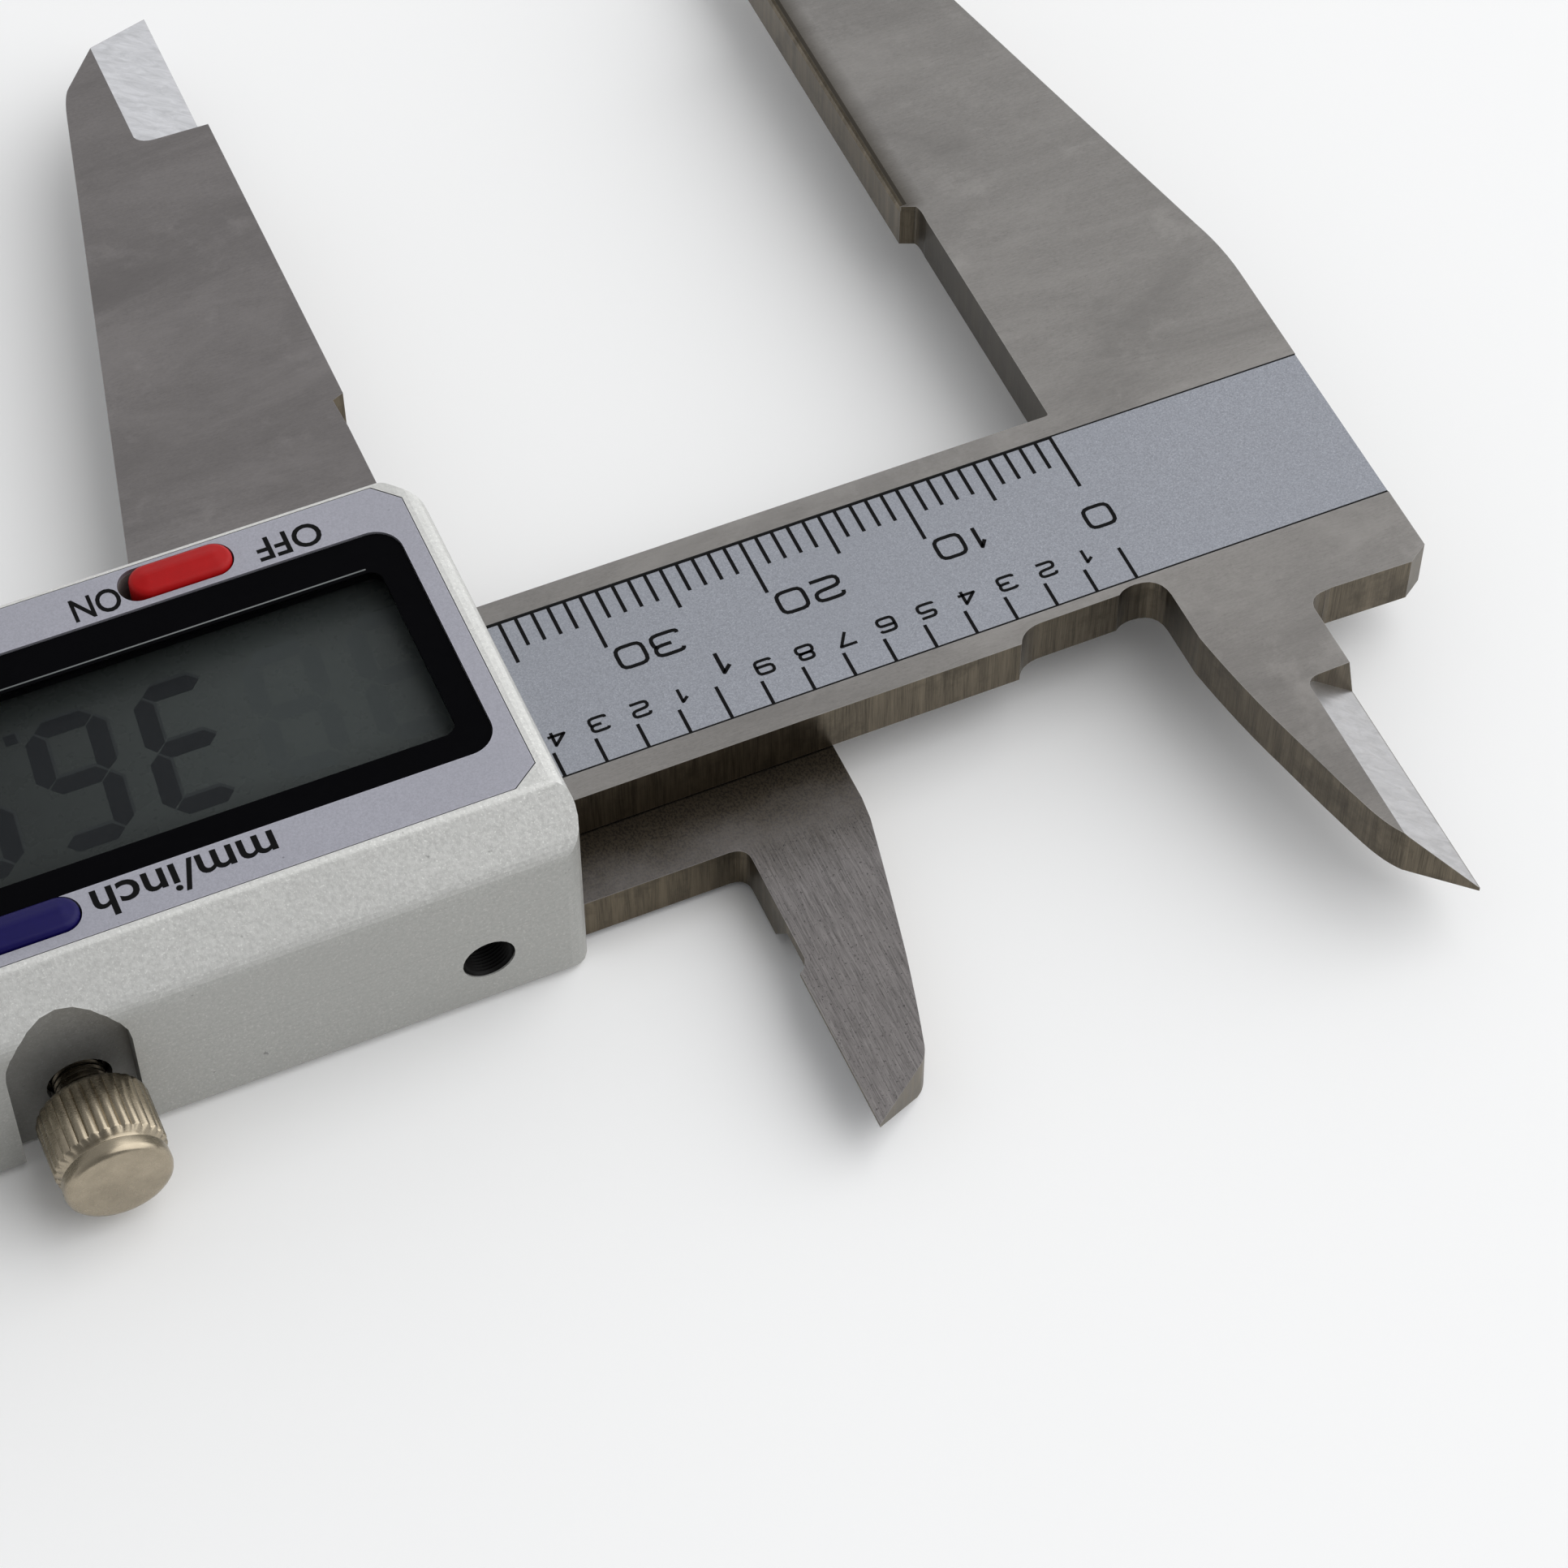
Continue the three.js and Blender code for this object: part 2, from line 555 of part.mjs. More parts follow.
function caseShell() {
  const { x0, x1, y0, y1, z0, z1 } = CASE;
  const section = softened([[y0, z0, 0.4], [y1, z0, 0.6], [y1, z1 - SLOPE, 0.9], [y1 - SLOPE, z1, 0.3],
    [y0, z1, 0.4]]);
  const outer = barX(section, x0, x1)
    .intersect(plate(casePlan(), z0 - 1, z1 + 1))
    .intersect(barY(caseSide(), y0 - 1, y1 + 1));
  const slope = 1.4;
  const hollow = [[IN_Y0, z0 - 1], [IN_Y1, z0 - 1], [IN_Y1, ROOF - slope], [IN_Y1 - slope, ROOF],
    [IN_Y0, ROOF]];
  return outer.subtract(barX(hollow, x0 + WALL.x, x1 - WALL.x));
}

// Floor and round wall around the battery, with a partition towards the circuit board.
function batteryBay() {
  const { z0, floor, x0, wall, outer } = BAY;
  const base = box(x0, CASE.x1 - WALL.x + 0.1, IN_Y0 - 0.1, IN_Y1 + 0.1, z0, z0 + floor);
  const partition = box(x0 - wall, x0, IN_Y0 - 0.1, PANEL.y1 - 1.2, z0, ROOF + 0.1);
  const ring = roundZ(BATTERY.x, BATTERY.y, z0 + floor - 0.1, ROOF + 0.1, outer, outer, 36);
  return base.add(partition).add(ring);
}

// Openings below the board: for the beam and the jaws at the front, the beam at the rear, and the roller.
function lowerOpenings() {
  const { x0, x1, y0, z0 } = CASE;
  const top = RAIL.top + 0.1;
  const beamGap = 8.2;
  const front = box(x0 - 1, x0 + WALL.x + 0.1, y0 - 1, 12.35, z0 - 1, top);
  const jawSlot = box(x0 - 1, 19.5, y0 - 1, IN_Y0 + 0.1, z0 - 1, top);
  const rear = box(x1 - WALL.x - 0.1, x1 + 1, -beamGap, beamGap, z0 - 1, top);
  const reach = ROLLER.r + 0.6;
  const roller = box(ROLLER.x - reach, ROLLER.x + reach, y0 - 1, IN_Y0 + 0.1, z0 - 1, BAY.z0);
  return front.add(jawSlot).add(rear).add(roller);
}

function housing() {
  const { z1 } = CASE;
  let body = caseShell().add(batteryBay());
  for (const [x, y] of COVER_SCREWS) {
    body = body.add(roundZ(x, y, BOSS.z0, ROOF + 0.2, BOSS.r));
    body = body.subtract(roundZ(x, y, BOSS.z0 - 1, COVER_SCREW.top + 0.4, BOSS.hole + 0.05));
  }
  const window = roundedRect(WINDOW.x0, WINDOW.x1, WINDOW.y0, WINDOW.y1, WINDOW.r);
  body = body.subtract(lowerOpenings());
  body = body.subtract(roundZ(BATTERY.x, BATTERY.y, BAY.z0 + BAY.floor, z1, BAY.inner, BAY.inner, 36));
  body = body.subtract(plate(window, ROOF - 1, z1 + 1));
  body = body.subtract(plate(panelPlan(0.05), z1 - PANEL.thick, z1 + 1));
  body = body.subtract(buttonHoles(BUTTON.foot - 1, z1 + 1));
  body = body.subtract(lidPath()).subtract(lockRecess());
  for (const x of GIB_SCREW_X) {
    body = body.subtract(roundY(x, SCREW_Z, IN_Y1 - 1, CASE.y1 + 1, 1.54));
  }
  return body;
}

function facePanel() {
  const { z1 } = CASE;
  let body = plate(panelPlan(0), z1 - PANEL.thick + 0.02, z1);
  body = body.subtract(plate(roundedRect(WINDOW.x0, WINDOW.x1, WINDOW.y0, WINDOW.y1, WINDOW.r), 9, z1 + 1));
  return body.subtract(buttonHoles(9, z1 + 1)).subtract(lidPath());
}

piece(slider, 'housing', housing(), look.zinc);
piece(slider, 'face_panel', facePanel(), look.panel);

// ---------------------------------------------------------------- window and display

function inset({ x0, x1, y0, y1, r }, by, z0, z1) {
  return plate(roundedRect(x0 + by, x1 - by, y0 + by, y1 - by, r - by * 0.4), z0, z1);
}

const LCD = { x0: 3.8, x1: 45.9, y0: -7.9, y1: 6.4 };

const LENS = { z0: 9.75, z1: 10.35 };
const MASK = { z0: 9.2, z1: 9.7 };

piece(slider, 'window_lens', inset(WINDOW, 0.06, LENS.z0, LENS.z1), look.clear);
piece(slider, 'window_mask',
  inset(WINDOW, 0.15, MASK.z0, MASK.z1).subtract(inset(VIEW, 0, MASK.z0 - 1, MASK.z1 + 1)), look.black);
piece(slider, 'lcd_frame',
  box(3.0, 46.7, -8.4, 7.3, 4.6, 8.9).subtract(box(3.6, 46.1, -7.95, 6.6, 4, 9)), look.black);
piece(slider, 'lcd_glass', box(LCD.x0, LCD.x1, LCD.y0, LCD.y1, 6.9, 8.7), look.glass);
piece(slider, 'zebra_strip', box(5, 45, -7.8, -6.8, 4.55, 6.85), look.rubber);

// ---------------------------------------------------------------- circuit board and battery

const BOARD = { x0: 1.8, x1: 50.3, y0: -11.6, y1: 11.4, z0: 3.55, z1: 4.5 };

function mainBoard() {
  let body = box(BOARD.x0, BOARD.x1, BOARD.y0, BOARD.y1, BOARD.z0, BOARD.z1);
  for (const [x, y] of COVER_SCREWS) {
    const edge = Math.sign(y) * 14;
    body = body.subtract(roundZ(x, y, 3, 5, 1.6));
    body = body.subtract(box(x - 1.6, x + 1.6, Math.min(y, edge), Math.max(y, edge), 3, 5));
  }
  return body;
}

function chipBlob() {
  const points = [[0, 0], [3.2, 0], [3.2, 0.25], [2.6, 0.75], [1.5, 1.05], [0, 1.15]];
  const profile = points.map(([r, y]) => new THREE.Vector2(r, y));
  const dome = new THREE.LatheGeometry(profile, 24).rotateX(Math.PI / 2);
  return solid(dome.translate(24, -1, BOARD.z1 + 0.02));
}

function crystal() {
  const can = new THREE.CylinderGeometry(0.75, 0.75, 5.4, 16).rotateZ(Math.PI / 2);
  return solid(can.translate(39, 2.5, BOARD.z1 + 0.8));
}

piece(slider, 'main_board', mainBoard(), look.board);
piece(slider, 'chip_blob', chipBlob(), look.black);
piece(slider, 'crystal', crystal(), look.nickel);

// A button cap with a flange under the case's top wall that keeps it from falling out.
function button(x, y, length) {
  const reach = length / 2 + 0.5;
  const flange = box(x - reach, x + reach, y - 0.8, y + 0.8, ROOF - 1, ROOF - 0.3);
  return plate(pill(x, y, length, BUTTON.width), BUTTON.foot, BUTTON.top).add(flange);
}

for (const [name, { x, y, length, color }] of Object.entries(BUTTONS)) {
  const pad = box(x - 2.2, x + 2.2, y - 0.6, y + 0.6, BOARD.z1 + 0.05, BOARD.z1 + 0.7);
  piece(slider, name, button(x, y, length), finish(color, 0, 0.35));
  piece(slider, name.replace('button', 'switch'), pad, look.rubber);
}

function battery() {
  const { x, y, r, z0, z1 } = BATTERY;
  return roundZ(x, y, z0, z1, r, r, 36);
}

piece(slider, 'battery', battery(), look.nickel);
piece(slider, 'battery_contact_neg', box(55.5, 62.1, -1.4, 1.4, 4.22, 4.33), look.gold);
piece(slider, 'battery_contact_pos', box(57.3, 60.3, 5.95, 6.15, 4.4, 8.6), look.gold);

function batteryLid() {
  const end = CASE.x1 - 0.1;
  let body = box(LID.x0, end, LID.y0 - LID.lip, LID.y1 + LID.lip, LID.z0, LID.step);
  body = body.add(box(LID.x0, end, LID.y0, LID.y1, LID.z0, CASE.z1));
  for (let row = 0; row < 4; row += 1) {
    const x = end - 3 - row * 1.4;
    body = body.subtract(box(x - 0.3, x + 0.3, LID.y0 + 3, LID.y1 - 3, CASE.z1 - 0.25, CASE.z1 + 1));
  }
  return body;
}

piece(slider, 'battery_lid', batteryLid(), look.zinc);

const group = new THREE.Group();
group.add(fixed, slider);

export default group;
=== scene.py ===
import json
import math

import bmesh
import bpy
from mathutils import Matrix, Vector


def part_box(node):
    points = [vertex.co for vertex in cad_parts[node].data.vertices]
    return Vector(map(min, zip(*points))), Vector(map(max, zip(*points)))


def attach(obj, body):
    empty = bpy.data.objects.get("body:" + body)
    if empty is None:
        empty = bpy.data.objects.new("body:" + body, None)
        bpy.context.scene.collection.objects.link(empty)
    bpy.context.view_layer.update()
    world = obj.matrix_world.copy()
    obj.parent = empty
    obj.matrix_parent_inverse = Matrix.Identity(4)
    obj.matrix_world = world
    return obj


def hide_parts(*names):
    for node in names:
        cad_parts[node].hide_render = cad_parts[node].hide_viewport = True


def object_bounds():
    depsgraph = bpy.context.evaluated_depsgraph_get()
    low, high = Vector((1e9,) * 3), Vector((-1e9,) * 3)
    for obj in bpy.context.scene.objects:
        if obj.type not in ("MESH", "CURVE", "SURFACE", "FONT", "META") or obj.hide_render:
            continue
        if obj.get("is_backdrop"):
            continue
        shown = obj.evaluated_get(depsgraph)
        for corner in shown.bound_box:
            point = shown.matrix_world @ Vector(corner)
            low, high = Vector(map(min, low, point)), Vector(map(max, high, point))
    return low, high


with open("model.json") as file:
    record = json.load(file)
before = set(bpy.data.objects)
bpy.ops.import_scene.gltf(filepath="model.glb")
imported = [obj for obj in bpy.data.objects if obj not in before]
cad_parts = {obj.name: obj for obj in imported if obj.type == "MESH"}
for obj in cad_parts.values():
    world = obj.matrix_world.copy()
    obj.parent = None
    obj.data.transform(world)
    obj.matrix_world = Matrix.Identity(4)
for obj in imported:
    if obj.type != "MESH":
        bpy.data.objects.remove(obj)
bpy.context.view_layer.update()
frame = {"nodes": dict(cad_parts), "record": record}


# ---------------------------------------------------------------- sizes, in metres

MM = 0.001
INCH = 25.4 * MM

LABEL_LOW, LABEL_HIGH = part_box("scale_label")
PANEL_LOW, PANEL_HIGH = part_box("face_panel")
GLASS_LOW, GLASS_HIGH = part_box("lcd_glass")
KNOB_LOW, KNOB_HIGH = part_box("lock_screw")

BEAM_HALF = 7.5 * MM
CASE_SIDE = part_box("housing")[1].y  # the case's +Y wall, where the lock knob is
TIP_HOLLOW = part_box("beam")[0].y + 13.8 * MM  # where the fixed outside jaw's hollow tip starts
JAW_SHADE_START = -26.2 * MM  # painted shade darkens the fixed outside jaw's measuring edge from here to its tip
BRUSHED_START = 12.2 * MM  # the moving inside jaw is brushed along Y from here to its tip
CASE_SEAM = 2.9 * MM  # the height of the line round the case's walls
KNOB_START = KNOB_HIGH.y - 5.5 * MM  # where the lock screw's knob meets its thread

INK = 0.010 * MM  # how far print stands above its surface
INK_ROOT = 0.012 * MM  # how far it reaches below
PRINT_LOW = LABEL_HIGH.z - INK_ROOT
PRINT_HIGH = LABEL_HIGH.z + INK

# ---------------------------------------------------------------- node trees

# The sockets of a Mix node that mixes colours
MIX_FACTOR, MIX_A, MIX_B, MIX_RESULT = 0, 6, 7, 2


def rgb(red, green, blue):
    """Screen colour, 0 to 255, as linear light."""
    def linear(c):
        c /= 255
        return c / 12.92 if c <= 0.04045 else ((c + 0.055) / 1.055) ** 2.4
    return (linear(red), linear(green), linear(blue), 1)


def shade(colour, factor):
    return tuple(min(c * factor, 1.0) for c in colour[:3]) + (1,)


class Tree:
    """A material whose nodes are added one at a time. The values are the shader's own."""

    def __init__(self, name, **values):
        self.material = bpy.data.materials.new(name)
        self.material.use_nodes = True
        self.nodes = self.material.node_tree.nodes
        self.shader = self.nodes["Principled BSDF"]
        for key, value in values.items():
            self.shader.inputs[key.replace("_", " ")].default_value = value

    def add(self, kind, operation=None, **inputs):
        """A new node. An input is given by its name, or by its number as i0, i1 and so on."""
        node = self.nodes.new("ShaderNode" + kind)
        if operation:
            node.operation = operation
        for key, value in inputs.items():
            numbered = key[0] == "i" and key[1:].isdigit()
            self.feed(node.inputs[int(key[1:]) if numbered else key], value)
        return node

    def feed(self, socket, value):
        if isinstance(value, bpy.types.NodeSocket):
            self.material.node_tree.links.new(value, socket)
        else:
            socket.default_value = value

    def surface(self, colour, roughness, normal=None):
        """The finished material."""
        self.feed(self.shader.inputs["Base Color"], colour)
        self.feed(self.shader.inputs["Roughness"], roughness)
        if normal is not None:
            self.feed(self.shader.inputs["Normal"], normal)
        return self.material

    def noise(self, scale, detail=3, roughness=0.55, stretch=(1, 1, 1), distortion=0):
        """Noise with about this many features per millimetre."""
        coordinates = self.add("TexCoord").outputs["Object"]
        place = self.add("Mapping", Vector=coordinates, Scale=stretch).outputs["Vector"]
        node = self.add("TexNoise", Vector=place, Scale=scale / MM,
                        Detail=detail, Roughness=roughness, Distortion=distortion)
        return node.outputs["Fac"]

    def ramp(self, factor, *stops):
        """A value by factor: the stops are (factor, value) pairs."""
        node = self.add("ValToRGB", Fac=factor)
        elements = node.color_ramp.elements
        while len(elements) < len(stops):
            elements.new(0.5)
        for element, (position, value) in zip(elements, stops):
            element.position = position
            element.color = (value, value, value, 1)
        return node.outputs["Color"]

    def spread(self, factor, low, high, start=0.0, end=1.0):
        """low where factor is at start, high where it is at end, and between them between."""
        node = self.add("MapRange", Value=factor)
        for key, value in {"From Min": start, "From Max": end, "To Min": low, "To Max": high}.items():
            node.inputs[key].default_value = value
        return node.outputs["Result"]

    def math(self, operation, a, b=0.5):
        """The result of a sum. b does nothing where the operation takes one value."""
        return self.add("Math", operation, i0=a, i1=b).outputs[0]

    def product(self, first, *others):
        for other in others:
            first = self.math("MULTIPLY", first, other)
        return first

    def away(self, value, middle):
        """How far a value is from middle, either way."""
        return self.math("ABSOLUTE", self.math("SUBTRACT", value, middle))

    def mix(self, factor, a, b, blend="MIX"):
        node = self.nodes.new("ShaderNodeMix")
        node.data_type = "RGBA"
        node.blend_type = blend
        self.feed(node.inputs[MIX_FACTOR], factor)
        self.feed(node.inputs[MIX_A], a)
        self.feed(node.inputs[MIX_B], b)
        return node.outputs[MIX_RESULT]

    def bump(self, height, depth, strength):
        return self.add("Bump", Height=height, Distance=depth, Strength=strength).outputs["Normal"]

    def level(self):
        """1 on faces that look straight along Z, either way, and 0 on side walls."""
        normal = self.add("NewGeometry").outputs["True Normal"]
        return self.math("ABSOLUTE", self.add("SeparateXYZ", Vector=normal).outputs["Z"])

    def along(self, axis):
        """The distance along an axis of the shared frame, in metres."""
        place = self.add("TexCoord").outputs["Object"]
        return self.add("SeparateXYZ", Vector=place).outputs[axis]

    def edges(self, width):
        """1 along the piece's edges, 0 on its faces."""
        gain = 6.0
        round_normal = self.add("Bevel", Radius=width).outputs["Normal"]
        flat_normal = self.add("NewGeometry").outputs["Normal"]
        dot = self.add("VectorMath", "DOT_PRODUCT", i0=round_normal, i1=flat_normal).outputs["Value"]
        bend = self.math("SUBTRACT", 1.0, dot)
        return self.math("MINIMUM", self.product(bend, gain), 1.0)


# ---------------------------------------------------------------- materials

STEEL = rgb(143, 140, 137)
# The side walls' colour, darker than the faces: stains, and painted shade
WALL = rgb(99, 91, 78)
# The colour of the painted highlight on tilted bevels
FACET_HIGHLIGHT = rgb(204, 204, 207)


def steel(name, colour, wall_colour, roughness=0.34, upright=None, facet_highlight=1.0, jaw_shade_below=None):
    """Ground steel: fine lines on the faces, upright lines, stains and painted shade on the side walls, a
    painted highlight on the bevels.

    Where upright is given, faces beyond that Y are brushed along Y and pitted, and in painted shade short
    of it.
    facets is how bright the painted highlight on the bevels is. Where jaw_shade_below is given, the piece
    has the painted shade of the beam's jaws, with the outside jaw's below that Y.
    """
    tree = Tree(name, Metallic=1.0)
    lines = tree.noise(1.0, 5, 0.7, (1.6, 38, 38))
    speckle = tree.noise(7.0, 3, 0.7, (0.6, 1, 1))
    wall_lines = tree.noise(1.0, 5, 0.7, (17, 17, 0.4))
    smudge = tree.noise(0.30, 5, 0.7)
    swirl = tree.noise(0.5, 5, 0.7, (1.2, 3.4, 1), distortion=0.8)

    face = ground_face(tree, colour, lines, speckle)
    wall = ground_wall(tree, wall_colour, wall_lines, smudge)
    dark_facet, bright_facet = shade(FACET_HIGHLIGHT, 0.86 * facet_highlight), shade(FACET_HIGHLIGHT, 1.12 * facet_highlight)
    facet = tree.mix(tree.spread(swirl, 0, 1, 0.35, 0.65), dark_facet, bright_facet)
    if upright is not None:
        face, lines = upright_face(tree, face, lines, smudge, colour, wall_colour, upright)
    if jaw_shade_below is not None:
        face, wall, facet = worn_jaws(tree, face, wall, facet, wall_colour, jaw_shade_below)

    # Painted shade and highlight by which way a face looks: side walls take the darker wall colour, and
    # bevels between faces and walls take the painted highlight.
    up = tree.spread(tree.level(), 0, 1, 0.6, 0.8)
    bevel = tree.ramp(tree.level(), (0.55, 0.0), (0.66, 1.0), (0.90, 1.0), (0.95, 0.0))
    body = tree.mix(up, wall, tree.mix(bevel, face, facet))
    # Edges are brightened, for wear and as a painted highlight.
    body = tree.mix(tree.product(tree.edges(0.08 * MM), 0.5), body, shade(colour, 1.6))
    grain = tree.mix(up, wall_lines, lines)
    rough = tree.spread(grain, roughness - 0.07, roughness + 0.09, 0.3, 0.7)
    height = tree.math("ADD", grain, tree.product(speckle, 0.3))
    return tree.surface(body, rough, tree.bump(height, 0.004 * MM, 0.5))


def ground_face(tree, colour, lines, speckle):
    """A face ground along X, with bright and dark specks and large soft patches."""
    cloud = tree.noise(0.07, 4, 0.6)
    drift = tree.noise(0.12, 5, 0.62, (0.5, 1.5, 1), distortion=0.6)
    patches = tree.noise(0.16, 6, 0.72)
    face = tree.mix(tree.spread(lines, 0, 1, 0.3, 0.7), shade(colour, 0.84), shade(colour, 1.14))
    face = tree.mix(tree.spread(speckle, 0, 0.30, 0.50, 0.75), face, shade(colour, 1.35))
    face = tree.mix(tree.spread(speckle, 0.35, 0, 0.25, 0.45), face, shade(colour, 0.6))
    face = tree.mix(tree.spread(cloud, 0, 0.55, 0.45, 0.75), face, shade(colour, 0.70))
    face = tree.mix(tree.spread(drift, 0, 0.5, 0.50, 0.68), face, shade(colour, 1.30))
    face = tree.mix(tree.spread(drift, 0.5, 0, 0.32, 0.48), face, shade(colour, 0.70))
    return tree.mix(tree.spread(patches, 0, 0.45, 0.55, 0.72), face, shade(colour, 1.5))


def ground_wall(tree, colour, lines, smudge):
    """A side wall ground along Z, with paler bands and dark stains."""
    bands = tree.noise(1.0, 3, 0.6, (1.6, 1.6, 0.1))
    wall = tree.mix(tree.spread(lines, 0, 1, 0.3, 0.7), shade(colour, 0.40), shade(colour, 1.40))
    wall = tree.mix(tree.spread(bands, 0, 0.6, 0.45, 0.7), wall, shade(colour, 1.7))
    return tree.mix(tree.spread(smudge, 0, 0.6, 0.5, 0.66), wall, shade(colour, 0.42))


def upright_face(tree, face, lines, smudge, colour, wall_colour, root):
    """The face and its lines, brushed and pitted beyond root, with painted shade over pits from the beam
    to there.
    """
    brushed = tree.noise(1.0, 6, 0.75, (15, 0.55, 15))
    pits = tree.noise(1.0, 3, 0.7, (8, 6, 8))
    end = tree.mix(tree.spread(brushed, 0, 1, 0.34, 0.66), shade(colour, 0.52), shade(colour, 1.22))
    end = tree.mix(tree.spread(pits, 0, 0.85, 0.60, 0.66), end, shade(colour, 0.30))
    beyond = tree.spread(tree.along("Y"), 0, 1, root - 0.6 * MM, root + 0.6 * MM)
    face = tree.mix(beyond, face, end)
    lines = tree.mix(beyond, lines, brushed)

    # Painted shade on the plate where the beam covers it, mottled by the pits.
    place = tree.math("ADD", tree.along("Y"), tree.spread(smudge, -2.0 * MM, 2.0 * MM))
    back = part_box("slider_frame")[0].z
    beam_shade = tree.product(tree.spread(place, 0.9, 0, root - 3.2 * MM, root + 3.4 * MM),
                           tree.spread(place, 0, 1, -BEAM_HALF - 1.5 * MM, -BEAM_HALF + 1.5 * MM),
                           tree.spread(tree.along("Z"), 0, 1, back + 0.1 * MM, back + 0.2 * MM))
    dark, black = shade(wall_colour, 0.52), shade(wall_colour, 0.16)
    pitted_shade = tree.mix(tree.spread(pits, 0, 1, 0.46, 0.6), dark, black)
    return tree.mix(beam_shade, face, pitted_shade), lines


def worn_jaws(tree, face, wall, facet, wall_colour, start):
    """The beam's face, wall and bevels, with painted shade on its jaws.

    Painted shade makes the outside jaw's measuring edge dull and dark from start down to the hollow at its
    tip, and the relief from there up to the beam dark, and the face darkens out along the inside jaw in
    painted shade.
    """
    y = tree.along("Y")
    # Painted shade: the face darkens out along the inside jaw.
    far = tree.spread(y, 0, 0.6, 5 * MM, 22 * MM)
    face = tree.mix(far, face, tree.mix(1.0, face, (0.58, 0.57, 0.56, 1), "MULTIPLY"))
    # Painted shade on the outside jaw's measuring edge, and on its bevel down to the tip's hollow.
    jaw = tree.spread(y, 1, 0, start - 0.3 * MM, start + 0.3 * MM)
    near_edge = tree.spread(tree.along("X"), 0, 0.75, -1.7 * MM, -0.35 * MM)
    face = tree.mix(tree.product(jaw, near_edge), face, shade(wall_colour, 0.50))
    above_tip = tree.spread(y, 0, 1, TIP_HOLLOW - 0.1 * MM, TIP_HOLLOW)
    facet = tree.mix(tree.product(jaw, above_tip), facet, shade(wall_colour, 0.42))
    # Painted shade in the relief between the jaw's step and the beam.
    relief = tree.product(tree.spread(y, 0, 0.72, start - 0.1 * MM, start + 0.4 * MM),
                          tree.spread(y, 1, 0, -BEAM_HALF - 0.5 * MM, -BEAM_HALF + 0.5 * MM))
    wall = tree.mix(relief, wall, shade(wall_colour, 0.20))
    return face, wall, facet


def painted(name, colour, roughness, grain, depth, metallic, wear_and_highlight, casting=False):
    """Silver paint, with grain bumps per millimetre. The casting has painted shade on its walls and in its
    recess, and a seam.
    """
    tree = Tree(name, Metallic=metallic)
    fine = tree.noise(grain, 3, 0.6)
    soft = tree.noise(0.12, 3, 0.5)
    sparkle = tree.noise(grain * 2.2, 1, 0.5)
    specks = tree.noise(1.7, 2, 0.5)
    body = tree.mix(tree.spread(fine, 0, 1, 0.34, 0.66), shade(colour, 0.90), shade(colour, 1.07))
    body = tree.mix(tree.spread(sparkle, 0, 0.8, 0.60, 0.76), body, shade(colour, 1.35))
    body = tree.mix(tree.spread(soft, 0, 0.3, 0.4, 0.7), body, shade(colour, 0.9))
    body = tree.mix(tree.spread(specks, 0, 0.6, 0.745, 0.80), body, shade(colour, 0.28))
    # Edges are brightened, for wear and as a painted highlight.
    body = tree.mix(tree.product(tree.edges(0.12 * MM), wear_and_highlight), body, shade(colour, 1.35))
    if casting:
        # Painted shade: side walls darker than the faces that look up.
        side = tree.ramp(tree.level(), (0.30, 1.0), (0.62, 0.0))
        body = tree.mix(side, body, tree.mix(1.0, body, (0.64, 0.64, 0.63, 1), "MULTIPLY"))
        # Painted shade in the recess round the lock knob.
        warm = (colour[0], colour[1] * 0.93, colour[2] * 0.87)
        body = tree.mix(recess(tree), body, shade(warm, 0.10))
        seam = tree.spread(tree.away(tree.along("Z"), CASE_SEAM), 1, 0, 0.01 * MM, 0.06 * MM)
        body = tree.mix(tree.product(seam, 0.3), body, shade(colour, 0.45))
    rough = tree.spread(fine, roughness - 0.05, roughness + 0.06, 0.3, 0.7)
    return tree.surface(body, rough, tree.bump(fine, depth, 0.6))


def recess(tree):
    """1 on the faces of the case's recess round the lock knob that take painted shade."""
    beside = tree.away(tree.along("X"), (KNOB_LOW.x + KNOB_HIGH.x) / 2)
    y = tree.along("Y")
    return tree.product(tree.ramp(tree.level(), (0.40, 1.0), (0.52, 0.0)),
                        tree.spread(y, 0, 1, KNOB_LOW.y - 1 * MM, KNOB_LOW.y),
                        tree.spread(beside, 1, 0, 3.7 * MM, 4.3 * MM),
                        tree.spread(tree.along("Z"), 1, 0.42, 4.0 * MM, 8.3 * MM),
                        tree.spread(y, 0.88, 0, CASE_SIDE - 2.6 * MM, CASE_SIDE - 0.1 * MM))


def film(name, colour):
    """The scale's silver film, with a fine metallic sparkle."""
    tree = Tree(name, Metallic=0.35)
    grain = tree.noise(9, 3, 0.7)
    flakes = tree.noise(15, 1, 0.5)
    cloud = tree.noise(0.1, 3, 0.5)
    body = tree.mix(tree.spread(grain, 0, 1, 0.35, 0.65), shade(colour, 0.80), shade(colour, 1.17))
    body = tree.mix(tree.spread(flakes, 0, 0.6, 0.60, 0.72), body, shade(colour, 1.6))
    body = tree.mix(tree.spread(cloud, 0, 0.25, 0.4, 0.7), body, shade(colour, 0.9))
    rough = tree.spread(grain, 0.42, 0.58, 0.3, 0.7)
    return tree.surface(body, rough, tree.bump(grain, 0.003 * MM, 0.5))


